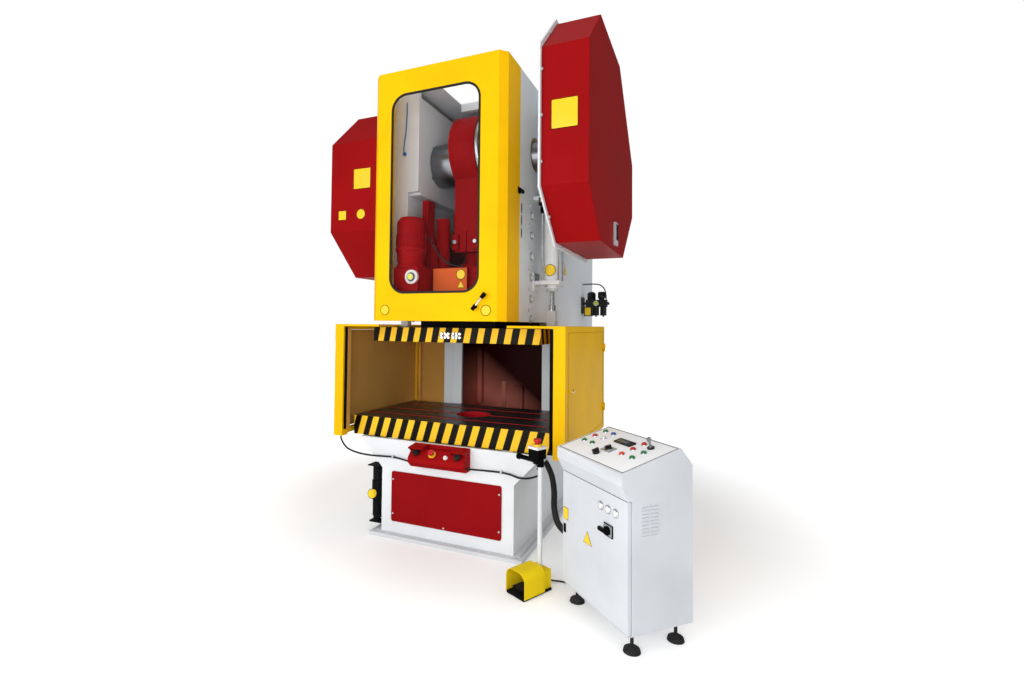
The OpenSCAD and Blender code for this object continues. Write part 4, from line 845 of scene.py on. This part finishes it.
# %% Solids with one finish
coats = {
    "base": (base_grey, 3), "pedestal": (machine_white, 3), "cheek_left": (frame_paint, 2.5),
    "cheek_right": (frame_paint, 2.5), "frame_web": (frame_paint, 2),
    "front_panel": (panel_red, 2), "fasteners": (bolt_grey, 0.8), "plain_bearings": (bronze, 1),
    "hood_shell": (hood_yellow, 2.5), "window_seal": (black_rubber, 1.5),
    "window_pane": (clear_pane, 0), "hood_hinges": (black_paint, 1),
    "flywheel_cover": (press_red, 4), "cover_plates": (machine_white, 2),
    "crankshaft": (crank_steel, 3), "bull_gear": (gear_iron, 0), "pinion_shaft": (turned_steel, 0),
    "flywheel": (gear_iron, 3), "drive_motor": (motor_grey, 3), "motor_pulley": (gear_iron, 1),
    "connecting_rod": (ram_red, 4), "rod_ring": (turned_steel, 1), "ram_screw": (ram_red, 3),
    "gear_motor": (ram_red, 3), "height_dial": (white_plastic, 1),
    "palm_button_left": (black_plastic, 2.5), "palm_button_right": (black_plastic, 2.5),
    "box_stop_button": (red_plastic, 1.5), "post_stop_button": (red_plastic, 1.5),
    "air_tank": (black_paint, 3), "air_service_unit": (bowl_black, 2),
    "regulator_knob": (bowl_black, 1.5), "pedal_treadle": (black_paint, 2),
    "console_cabinet": (console_white, 1), "console_feet": (black_rubber, 2),
    "console_buttons": (green_plastic, 1), "main_switch": (grip_black, 2),
    "mode_selector": (black_plastic, 1.2), "key_switch": (turned_steel, 0.6)}
for node, (finish, rounding) in coats.items():
    dress(node, finish, rounding)
print("solids with one finish:", len(coats))

# %% Solids with more than one finish
dress("bed", ground_iron, 2.5, [
    (bed_stripes, lambda x, y, z, n: n.y < -0.9 and y < -401),
    (black_paint, lambda x, y, z, n: abs(x) > 749 or (n.y > 0.9 and y > 404)),
    (slot_red, lambda x, y, z, n: z < 774 and n.z > -0.5 and abs(x) < 749.5 and -400 < y < 404)])
dress("hood_handles", grip_black, 1.2, [
    (chrome, lambda x, y, z, n: y < -590 and abs(along_pull_bar(x, z)) < 24)])
# Guard faces that lie in shade, inside the guards and under the top rails, get the painted shade.
for side, word in ((-1, "left"), (1, "right")):
    dress("guard_frame_" + word, guard_yellow, 2, [
        (guard_painted_shade, lambda x, y, z, n, s=side: (y > 500 and n.x * s < 0.5 and abs(x) < 815)
                                                 or (n.z < -0.5 and z > 1300))])
    dress("guard_door_" + word, guard_yellow, 1.5, [
        (guard_painted_shade, lambda x, y, z, n, s=side: n.x * s < -0.5)])
# The light curtains' bodies get the same painted shade; their fronts are black.
dress("light_curtains", guard_painted_shade, 2, [(grip_black, lambda x, y, z, n: n.y < -0.9)])
dress("gear_cover", press_red, 4, [(bolt_grey, lambda x, y, z, n: x > 980)])
# The ram block carries painted shade below the hood and a painted reflection of the hood on its
# front face.
dress("ram_block", ram_red_shaded_below, 4, [(ram_front_reflection_red, lambda x, y, z, n: y < -291 and n.y < -0.5)])
dress("ram_plate", black_paint, 2.5, [
    (plate_stripes, lambda x, y, z, n: abs(n.y) > 0.9 and abs(y) > 366 and abs(x) < 620
                                       and z > 1301),
    (side_stripes, lambda x, y, z, n: abs(x) > 616),
    (chrome, lambda x, y, z, n: y < -369)])
dress("balance_cylinders", machine_white, 2, [
    (chrome, lambda x, y, z, n: 1727 < z < 2285 and math.hypot(abs(x) - 580, y) > 66
                                and abs(x) > 470)])
dress("balance_rods", chrome, 1.5, [(bolt_grey, lambda x, y, z, n: z < 1522)])
dress("two_hand_box", press_red, 2, [
    (yellow_plastic, lambda x, y, z, n: above_stop_slope(x, y, z) > 0.4)])
dress("pedal_guard", pedal_yellow, 2, [(black_paint, lambda x, y, z, n: z < 12.5)])
dress("pedal_post", machine_white, 1.5, [
    (grip_black, lambda x, y, z, n: 652 < z < 749.6),
    (yellow_plastic, lambda x, y, z, n: z > 762.5)])
dress("console_door", console_white, 1.5, [
    (grip_black, on_console(lambda u, v, w: v < -1 and u < 40)),
    (grip_black, on_console(lambda u, v, w: v < -1 and w < 530 and u > 370))])
dress("console_fittings", black_plastic, 1, [
    (label_grey, on_console(lambda u, v, w: 225 < u < 312 and 66 < v < 121))])
for piece in (curtain_lead, box_lead, pedal_lead, supply_conduit):
    piece.data.materials.append(black_rubber)
print("solids dressed:", sum(1 for piece in nodes.values() if piece.data.materials))

# %% [markdown]
# ## Helpers for fitted pieces
# The solids carry the machine's true shapes. What comes next is the layer that
# hand and eye meet: plates, bezels, buttons, bolt heads and hoses. Each starts
# as a lathe profile, a cut outline or a swept tube, sits on the surface that
# carries it, and rides with that surface's body.

# %% Helpers for fitted pieces
def fit(piece, body):
    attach(piece, body)
    return piece


def fit_all(name, parts, body):
    return fit(join(name, parts), body)


def front_at(x, y, z):
    """A place on a surface of the press that looks forward."""
    return facing(on_press(x, y, z), (0, -1, 0))


def side_at(x, y, z, side=1):
    """A place on a surface of the press that looks to its right, or left for side -1."""
    return facing(on_press(x, y, z), (side, 0, 0))


def door_at(x, z, out=0.0):
    """A place on the front of the console's door, with its Z axis looking out."""
    spot = console_at @ Matrix.Translation((x / 1000, -out / 1000, z / 1000))
    return spot @ Matrix.Rotation(math.pi / 2, 4, "X")


def step_round(place, k, count):
    """The place turned by k of a number of equal steps."""
    return place @ Matrix.Rotation(k * math.tau / count, 4, "Z")


def slim_tube(name, route, diameter, finish):
    """A smooth tube through points on the press, given in millimetres."""
    line = smooth_route(route, 8)
    return tube_along(name, line, [diameter / 2] * len(line), finish, 14)


print("fitting helpers ready")

# %% [markdown]
# ## Sign plates
# Presses carry round and square yellow signs. Here they are blank plates: a
# pale yellow face on a thin dark rim. A sign on a barrel is bent round it, so
# it is built as rings of points wrapped on the barrel's radius.

# %% Sign makers
def plain_plate(name, outline, rim, place, body):
    """A yellow sign plate left blank, on a thin dark backing that shows as its rim."""
    face = cut_plate(name, outline, 1.8, place, label_yellow)
    back = cut_plate(name + "_rim", rim, 1.2, place, grip_black)
    return fit_all(name, [face, back], body)


def square_sign(name, width, height, place, body, rim=7, corner=4):
    face = round_outline(width - rim, height - rim, corner)
    plain_plate(name, face, round_outline(width, height, corner * 1.5), place, body)


def round_sign(name, radius, place, body):
    plain_plate(name, ring_outline(radius - 4), ring_outline(radius), place, body)


def triangle_sign(name, face, rim, place, body):
    """A triangle from its half width, its foot and its tip, for the face and for the rim."""
    corners = [[(-half, foot), (half, foot), (0, tip)] for half, foot, tip in (face, rim)]
    plain_plate(name, corners[0], corners[1], place, body)


def wrapped_sign(name, radius, barrel, place, body):
    """A round sign bent round an upright barrel; its place is on the barrel's axis."""
    sheets = []
    for reach, lift, finish in ((radius - 4, 1.4, label_yellow), (radius, 0.9, grip_black)):
        bm = bmesh.new()
        rings = []
        for k in range(6):
            r = reach * k / 5
            spots = circle(36) if k else [(1, 0)]
            rings.append([bm.verts.new(((barrel + lift) * math.sin(r * c / barrel) / 1000,
                                        -(barrel + lift) * math.cos(r * c / barrel) / 1000,
                                        r * s / 1000)) for c, s in spots])
        for low, high in zip(rings, rings[1:]):
            bridge(bm, low, high)
        sheets.append(add_mesh(name + "_sheet", bm, place, finish))
    fit_all(name, sheets, body)


# %% Sign plates
cover_front = from_axis(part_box("gear_cover")[0][1])
flywheel_front = from_axis(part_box("flywheel_cover")[0][1])
hood_front = from_axis(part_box("hood_shell")[0][1])
square_sign("gear_cover_sign", 154, 169, front_at(842, cover_front, 2598), "frame")
square_sign("flywheel_cover_sign", 158, 158, front_at(-866, flywheel_front, 2532), "frame")
square_sign("flywheel_cover_small_sign", 76, 76, front_at(-1046, flywheel_front, 2259), "frame")
round_sign("flywheel_cover_disc", 41, front_at(-872, flywheel_front, 2258), "frame")
round_sign("hood_disc_left", 34, front_at(-380, hood_front, 1513), "hood")
round_sign("hood_disc_right", 34, front_at(340, hood_front, 1509), "hood")
round_sign("ram_disc", 35, front_at(45, -330, 1758), "ram")
triangle_sign("ram_triangle", (24, -20, 22), (27, -22, 25), front_at(46, -330, 1690), "ram")
wrapped_sign("balance_cylinder_disc", 41, 56, press_at(580, 0, 1796), "frame")
wrapped_sign("air_tank_disc", 34, 37,
             press_at(-561, -438, 266) @ Matrix.Rotation(math.radians(38), 4, "Z"), "frame")
triangle_sign("frame_side_triangle", (41, -38, 42), (45, -40, 48), side_at(457, 802, 1886),
              "frame")
triangle_sign("console_triangle", (34, -26, 29), (37, -28, 33), door_at(235, 398), "cabinet_door")
square_sign("console_small_label", 46, 62, door_at(33, 450), "cabinet_door", 4, 2)
print("sign plates fitted")

# %% [markdown]
# ## Push buttons and lamps of the console
# A push button is a plated ring with a coloured cap that stands in it. The
# solid only holds the place of each button, so finished buttons replace it. The
# three lamps on the door are flat lenses in plated rings.

# %% Push buttons
button_ring = [(0, 0), (15.2, 0), (15.2, 2.4), (14.2, 4.4), (12.6, 4.9), (12.2, 3.6), (0, 3.6)]
button_cap = [(0, 3), (11.7, 3), (11.7, 9.2), (11.0, 10.3), (9.4, 10.6), (4, 10.9), (0, 10.9)]
button_plan = [(59, 94, green_plastic), (59, 159, red_plastic), (59, 225, green_plastic),
               (131, 94, green_plastic), (129, 164, white_plastic), (131, 223, blue_plastic),
               (377, 93, orange_plastic), (377, 157, red_plastic), (377, 222, red_plastic),
               (454, 93, green_plastic), (454, 157, green_plastic)]
parts = []
for x, y, finish in button_plan:
    parts.append(turned("button_ring", button_ring, on_desk(x, y), chrome, 40))
    parts.append(turned("button_cap", button_cap, on_desk(x, y), finish, 40))
push_buttons = fit_all("console_push_buttons", parts, "frame")
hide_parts("console_buttons")
print("push buttons:", len(button_plan))

# %% Desk overlay and its line
slope_length = desk_run / math.cos(desk_slope)
near, far, left, across = 9, slope_length - 9, 9, 542
line_width = 3.5
desk_corner = on_desk(0, desk_front)
parts = [block("desk_line", low, high, 0.1, desk_corner, grip_black) for low, high in (
    ((left, near, 0), (across, near + line_width, 0.5)),
    ((left, far - line_width, 0), (across, far, 0.5)),
    ((left, near, 0), (left + line_width, far, 0.5)),
    ((across - line_width, near, 0), (across, far, 0.5)))]
fit_all("console_desk_line", parts, "frame")
sheet = [(12, 12), (539, 12), (539, slope_length - 12), (12, slope_length - 12)]
overlay = cut_plate("console_desk_overlay", sheet, 0.35, desk_corner, panel_white, 0.1)
fit(overlay, "frame")
print("desk is", round(slope_length, 1), "mm deep along its slope")

# %% Display and mode selector
display_at = on_desk(276, 186, 0.007)
parts = [cut_plate("console_display_glass", round_outline(112, 34, 3), 0.9, display_at,
                   screen_glass)]
parts += [block("digit_bar", (x, y, 0.8), (x + 3.2, y + 8, 1.2), 0.2, display_at, label_grey)
          for y in (-12, 2) for x in range(-44, 30, 11)]
fit_all("console_display_glass", parts, "frame")
selector_at = on_desk(272, 94)
fit(block("mode_selector_line", (-1.4, 2, 21.0), (1.4, 15, 21.5), 0.2, selector_at, white_plastic),
    "mode")
fit(turned("mode_selector_ring", [(16.6, 3.0), (22, 3.0), (22, 4.6), (20, 6.0), (16.6, 6.0),
                                  (16.6, 3.0)], selector_at, chrome, 40), "frame")
print("display and selector fitted")

# %% Door lamps, switch plate and louvres
lamp_ring = [(16.2, 0), (21, 0), (21, 3), (19.6, 6.5), (17.2, 8.2), (15.0, 8.2), (14.4, 7.1),
             (16.2, 7.0), (16.2, 0)]
lamp_lens = [(0, 7.0), (14.2, 7.0), (14.2, 7.8), (12, 9.0), (6, 9.8), (0, 10)]
parts = []
for x in (349, 406, 463):
    parts.append(turned("lamp_ring", lamp_ring, door_at(x, 591), chrome, 40))
    parts.append(turned("lamp_lens", lamp_lens, door_at(x, 591), white_plastic, 40))
fit_all("console_lamps", parts, "cabinet_door")
fit(cut_plate("switch_plate_face", round_outline(57, 47, 3), 0.7, door_at(409, 498, 5),
              label_grey), "cabinet_door")

console_side = 551
louvre_spots = [(y, 516 + k * 15.5) for k in range(9) for y in (66, 115)]
blade = ((-0.3, 9.5), (-0.3, 0), (4.2, 0.6), (4.6, 1.6))
bm = bmesh.new()
for y, z in louvre_spots:
    ends = [[bm.verts.new(((console_side + out) / 1000, (y + along) / 1000, (z + up) / 1000))
             for out, up in blade] for along in (0, 44)]
    bridge_all(bm, ends)
parts = [add_mesh("console_louvres", bm, console_at, console_white)]
# Painted shade: a grey strip under each louvre stands in for the shaded gap beneath it.
parts += [block("louvre_painted_shade_slit", (console_side - 0.1, y + 1, z - 3.4),
                (console_side + 0.3, y + 43, z - 0.6), 0.1, console_at, washer_grey)
          for y, z in louvre_spots]
fit_all("console_louvres", parts, "frame")
print("console fitted with", len(button_plan), "buttons, 3 lamps and", len(louvre_spots), "louvres")

# %% [markdown]
# ## Bolts, washers and scales on the frame's side
# A row of bolts down the frame's side holds the ram's guides. On a real press
# their heads stand on dark washers beside thin scale strips. Every head is a
# six sided cut plate with a turned washer under it.

# %% Side bolts and scales
cheek_face, scale_y = 457, -291
guide_bolt_rows = [1465, 1600, 1745, 1888, 2030, 2165]
guide_washer = [(17.2, 0), (28, 0), (28, 4), (26, 5.5), (17.2, 5.5), (17.2, 0)]
screw_washer = [(0, 0), (12.5, 0), (12.5, 3), (10.2, 3.4), (0, 3.4)]


def hex_head(name, across, height, place, lift, rounding):
    """A six sided head that stands a little off its place."""
    outline = ring_outline(across / 1.732, 6)
    raised = place @ Matrix.Translation((0, 0, lift / 1000))
    return cut_plate(name, outline, height, raised, bolt_grey, rounding)


parts = []
for side in (-1, 1):
    for z in guide_bolt_rows:
        place = side_at(side * cheek_face, -95, z, side)
        parts.append(turned("guide_washer", guide_washer, place, washer_grey, 36))
        parts.append(hex_head("guide_bolt", 33, 11, place, 13.8, 1.4))
        place = side_at(side * cheek_face, -132, z + 62, side)
        parts.append(turned("set_screw_washer", screw_washer, place, washer_grey, 32))
        parts.append(hex_head("guide_set_screw", 17, 12, place, 3.2, 1.0))
fit_all("guide_bolts", parts, "frame")
parts = []
for low, high in ((1987, 2052), (2064, 2134), (2146, 2212)):
    parts.append(cut_plate("scale_strip", round_outline(14, high - low, 2), 2.0,
                           side_at(cheek_face, scale_y, (low + high) / 2), grip_black))
    for z in (low + 8, high - 8):
        parts.append(turned("scale_screw", [(0, 2), (3.6, 2), (3.2, 4), (0, 4.4)],
                            side_at(cheek_face, scale_y, z), chrome, 16))
fit_all("side_scales", parts, "frame")
print("side bolts fitted")

# %% [markdown]
# ## Balance cylinders
# Two air cylinders carry the ram's weight. Their end plates are clamped by four
# long rods with nuts, and a port on top takes the air hose. The nuts and the
# port fittings are made here on the solid cylinder.

# %% Balance cylinder fittings
cylinder_x, rod_reach, nut_height = 580, 56, 10
lower_plate, upper_plate, port_z = 1700, 2312, 2256
rod_gland = [(17, -46), (40, -46), (40, -40), (36, -34), (36, -26), (33, -24), (17, -24)]
for side, word in ((-1, "left"), (1, "right")):
    parts = [hex_head("tie_nut", 20, nut_height, press_at(side * cylinder_x + dx, dy, z), 0, 0.8)
             for dx in (-rod_reach, rod_reach) for dy in (-rod_reach, rod_reach)
             for z in (lower_plate - nut_height, upper_plate)]
    parts.append(turned("rod_gland", rod_gland, press_at(side * cylinder_x, 0, lower_plate),
                        bolt_grey, 40))
    port = press_at(side * 540, 0, port_z)
    parts.append(block("port_clamp", (-26, -104, -24), (22, -66, 30), 3, port, grip_black))
    parts.append(block("port_elbow", (-18, -94, -74), (12, -68, -30), 4, port, grip_black))
    parts.append(turned("port_sleeve", [(0, 0), (9, 0), (9, 26), (6, 30), (0, 30)],
                        front_at(side * 540 - 4, -104, port_z), chrome, 24))
    fit_all("balance_fittings_" + word, parts, "frame")
print("balance cylinders fitted")

# %% [markdown]
# ## Behind the window
# Through the window the crank, the rod and the motor that sets the ram's height
# are in sight. A blue air hose hangs at the left, a black lead runs to the
# motor, and a round indicator shows the set height with ticks round its rim.

# %% Hose and lead
hose = slim_tube("blue_air_hose", [
    (-392, -332, 2990), (-392, -334, 2900), (-396, -336, 2790), (-408, -338, 2700),
    (-412, -336, 2650), (-412, -326, 2630)], 8, hose_blue)
plug = turned("hose_fitting", [(0, 0), (13, 0), (13, 8), (9, 10), (9, 20), (0, 20)],
              facing(on_press(-412, -320, 2626), (0.2, -1, 0.1)), hose_blue, 24)
fit_all("blue_air_hose", [hose, plug], "frame")
fit(slim_tube("height_motor_lead", [
    (-170, -395, 2010), (-140, -385, 1960), (-100, -352, 1880), (-40, -338, 1832),
    (20, -336, 1816), (60, -318, 1812)], 11, black_rubber), "ram")
print("hose and motor lead fitted")

# %% Motor shroud and ram plate fittings
motor_axis = press_at(-285, -425, 0)
shroud = [(89.2, 1835), (91, 1835), (98, 1905), (104, 1911), (104, 1932), (98.5, 1938),
          (98.5, 2030), (89.2, 2034), (89.2, 1835)]
parts = [turned("motor_shroud", shroud, motor_axis, ram_red, 56)]
parts += [block("motor_fin", (97.5, -1.8, 1942), (102.5, 1.8, 2020), 0.8,
                step_round(motor_axis, k, 28), ram_red) for k in range(28)]
fit_all("height_motor_shroud", parts, "ram")

plate_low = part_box("ram_plate")[0]
fitting_y, fitting_z = from_axis(plate_low[1]) + 22, plate_low[2] * 1000 + 46
parts = [turned("plate_fitting", [(0, 0), (reach, 0), (reach, 20), (reach - 3, 25),
                                  (reach - 6, 26), (0, 26)],
                front_at(x, fitting_y, fitting_z), chrome, 28)
         for x, reach in ((-68, 12), (-26, 17), (15, 9), (46, 14))]
fit_all("ram_plate_fittings", parts, "ram")
print("shroud with 28 fins and", len(parts), "plate fittings made")

# %% Height indicator
dial_face = press_at(-222, -527, 1732) @ Matrix.Rotation(math.pi / 2, 4, "X")
parts = [turned("dial_rim", [(20.4, 0.2), (30, 0.2), (29, 3.0), (23, 4.0), (20.4, 4.0),
                             (20.4, 0.2)], dial_face, dark_steel, 48),
         turned("dial_window", [(0, 11.6), (18.5, 11.6), (18.5, 13.0), (15, 14.2), (0, 15.0)],
                dial_face, dial_lime, 40)]
for k in range(20):
    tick_end = 45 if k % 5 == 0 else 41
    parts.append(block("dial_tick", (33, -1.3, -0.2), (tick_end, 1.3, 0.8), 0.2,
                       step_round(dial_face, k, 20), grip_black))
fit_all("height_indicator", parts, "dial")
print("height indicator fitted")

# %% Hood seat and throat rib
hood_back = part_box("hood_shell")[1][1]
flange = block("hood_seat_flange", (-496, from_axis(hood_back) + 1.5, 1500), (-456, -318, 3030),
               1.5, press_at(0, 0, 0), frame_paint)
fit(flange, "frame")
# The rib's pale red is painted light on red paint.
rib = block("throat_rib", (-168, 970, 662), (-128, 979.8, 915), 2, press_at(0, 0, 0), rib_painted_light_red)
fit(rib, "frame")
print("window interior fitted, hood back at", round(hood_back - ram_axis_y, 4))

# %% [markdown]
# ## Air service unit
# The filter, regulator and oiler stand at the back on the frame's right side.
# The gauge is a turned case with a lime face and a needle, and a black pipe
# arches from the frame to the oiler.

# %% Gauge, label and pipe
gauge_at = front_at(597, 1386, 1632)
gauge_case = [(19, 0), (24.6, 0), (24.6, 5), (22.5, 7), (20, 7), (19, 4), (19, 0)]
needle_at = gauge_at @ Matrix.Rotation(0.7, 4, "Z")
fit_all("air_gauge", [
    turned("gauge_case", gauge_case, gauge_at, chrome, 40),
    turned("gauge_face", [(0, 0.4), (19.4, 0.4), (19.4, 2.0), (0, 2.0)], gauge_at, dial_lime, 40),
    block("gauge_needle", (-1, -4, 2.0), (1, 15, 2.8), 0.2, needle_at, grip_black)],
    "frame")
square_sign("air_valve_label", 58, 76, front_at(514, 1416, 1558), "frame", 4, 2)
fit(slim_tube("air_link_pipe", [
    (458, 1450, 1812), (500, 1449, 1814), (560, 1447, 1815), (620, 1446, 1806),
    (660, 1450, 1770), (672, 1462, 1720), (674, 1474, 1668)], 11, black_rubber),
    "frame")
print("air service unit fitted")

# %% [markdown]
# ## Small fittings that the hand works
# The white button of the two hand box, the lever and ribs of the pedal, the
# latches of the cover and the guard are small, but the eye looks for them.

# %% Small fittings
fit(turned("box_start_button", [(0, 0), (15, 0), (15, 4), (11, 5), (11, 10), (9, 12), (0, 12.6)],
           facing(on_press(46, -520, 583), (0, -1, 1)), white_plastic, 36),
    "frame")
parts = []
for k in range(8):
    y = 22 + k * 9.5
    low = 44 - (y - 12) * 4 / 88
    parts.append(block("treadle_rib", (38, y, low - 0.6), (126, y + 4, low + 2.2), 0.7, pedal_at,
                       grip_rubber))
fit_all("treadle_ribs", parts, "treadle")
fit(block("pedal_safety_lever", (74, 116, 54), (88, 124, 84), 3, pedal_at, white_plastic),
    "treadle")

cover_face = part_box("gear_cover")[1][0] * 1000
fit(block("cover_latch_inside", (-1, 97, 2004), (2.5, 158, 2110), 2, press_at(cover_face, 0, 0),
          grip_black), "frame")
door_low, door_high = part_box("guard_door_right")
latch_spot = Vector((door_high[0], door_low[1] + 0.026, (door_low[2] + door_high[2]) / 2))
fit(turned("guard_latch_dot", [(0, 0), (13, 0), (13, 3), (10, 5), (0, 5.4)],
           facing(latch_spot, (1, 0, 0)), chrome, 28), "right_door")
print("small fittings done")

# %% [markdown]
# ## Floor, light and background
# A pale floor with soft light from large lamps, as in a studio. The background
# is white to the camera and faint in reflections, which keeps the reds deep,
# while the light on the press comes from the lamps at a plain level.

# %% Stage
def seen_directly(tree):
    """One for what the camera sees, also through glass, and a little for reflections."""
    path = tree.nodes.new("ShaderNodeLightPath").outputs
    shine = add_math(tree, "MULTIPLY", path["Is Glossy Ray"], 0.12)
    seen = add_math(tree, "MAXIMUM", path["Is Camera Ray"], shine)
    return add_math(tree, "MAXIMUM", seen, path["Is Transmission Ray"])


bm = bmesh.new()
bmesh.ops.create_grid(bm, x_segments=1, y_segments=1, size=30)
floor_paint, tree, shader = new_material("studio_floor_paint", Roughness=0.9,
                                         Base_Color=(0.94, 0.94, 0.94, 1),
                                         Emission_Color=(1, 1, 1, 1))
away = tree.nodes.new("ShaderNodeVectorMath")
away.operation = "LENGTH"
tree.links.new(add_place(tree), away.inputs[0])
glow = add_ramp(tree, away.outputs["Value"], 1.6, 4.4, 0.14, 1.0)
tree.links.new(add_math(tree, "MULTIPLY", seen_directly(tree), glow),
               shader.inputs["Emission Strength"])
add_mesh("studio_floor", bm, finish=floor_paint)

world = bpy.data.worlds.new("studio_world")
bpy.context.scene.world = world
world.use_nodes = True
sky = world.node_tree
backdrop = sky.nodes["Background"]
backdrop.inputs["Color"].default_value = (1, 1, 1, 1)
diffuse = sky.nodes.new("ShaderNodeLightPath").outputs["Is Diffuse Ray"]
strength = add_math(sky, "MAXIMUM", seen_directly(sky), add_math(sky, "MULTIPLY", diffuse, 0.62))
sky.links.new(strength, backdrop.inputs["Strength"])
print("stage set")


# %% Lamps
def lamp(name, spot, aim, size, watts):
    """A large soft lamp at a spot, turned towards a point."""
    data = bpy.data.lights.new(name, "AREA")
    data.shape = "RECTANGLE"
    data.size, data.size_y = size
    data.energy = watts
    piece = bpy.data.objects.new(name, data)
    bpy.context.scene.collection.objects.link(piece)
    way = (Vector(aim) - Vector(spot)).to_track_quat("-Z", "Y").to_matrix().to_4x4()
    piece.matrix_world = Matrix.Translation(spot) @ way


lamp("key_from_front_left", (-2.2, -7.0, 2.6), (0.2, -0.6, 1.4), (4.0, 4.0), 124)
lamp("fill_beside_camera", (1.8, -7.0, 1.9), (0.3, -0.4, 1.3), (3.0, 3.0), 48)
lamp("fill_from_right", (6.0, -4.0, 3.2), (0.4, -0.6, 1.3), (3.5, 3.5), 9)
lamp("throat_fill", (0.9, -4.2, 1.15), (-0.1, -0.2, 1.05), (1.2, 0.9), 18)
lamp("top_soft", (0.0, -1.5, 7.0), (0.0, -0.6, 0.0), (5.0, 5.0), 60)
lamp("back_left", (-5.0, 4.0, 4.5), (0.0, 0.0, 1.5), (3.0, 3.0), 60)
bpy.context.scene.view_settings.view_transform = "Standard"
print("lamps:", len(bpy.data.lights))
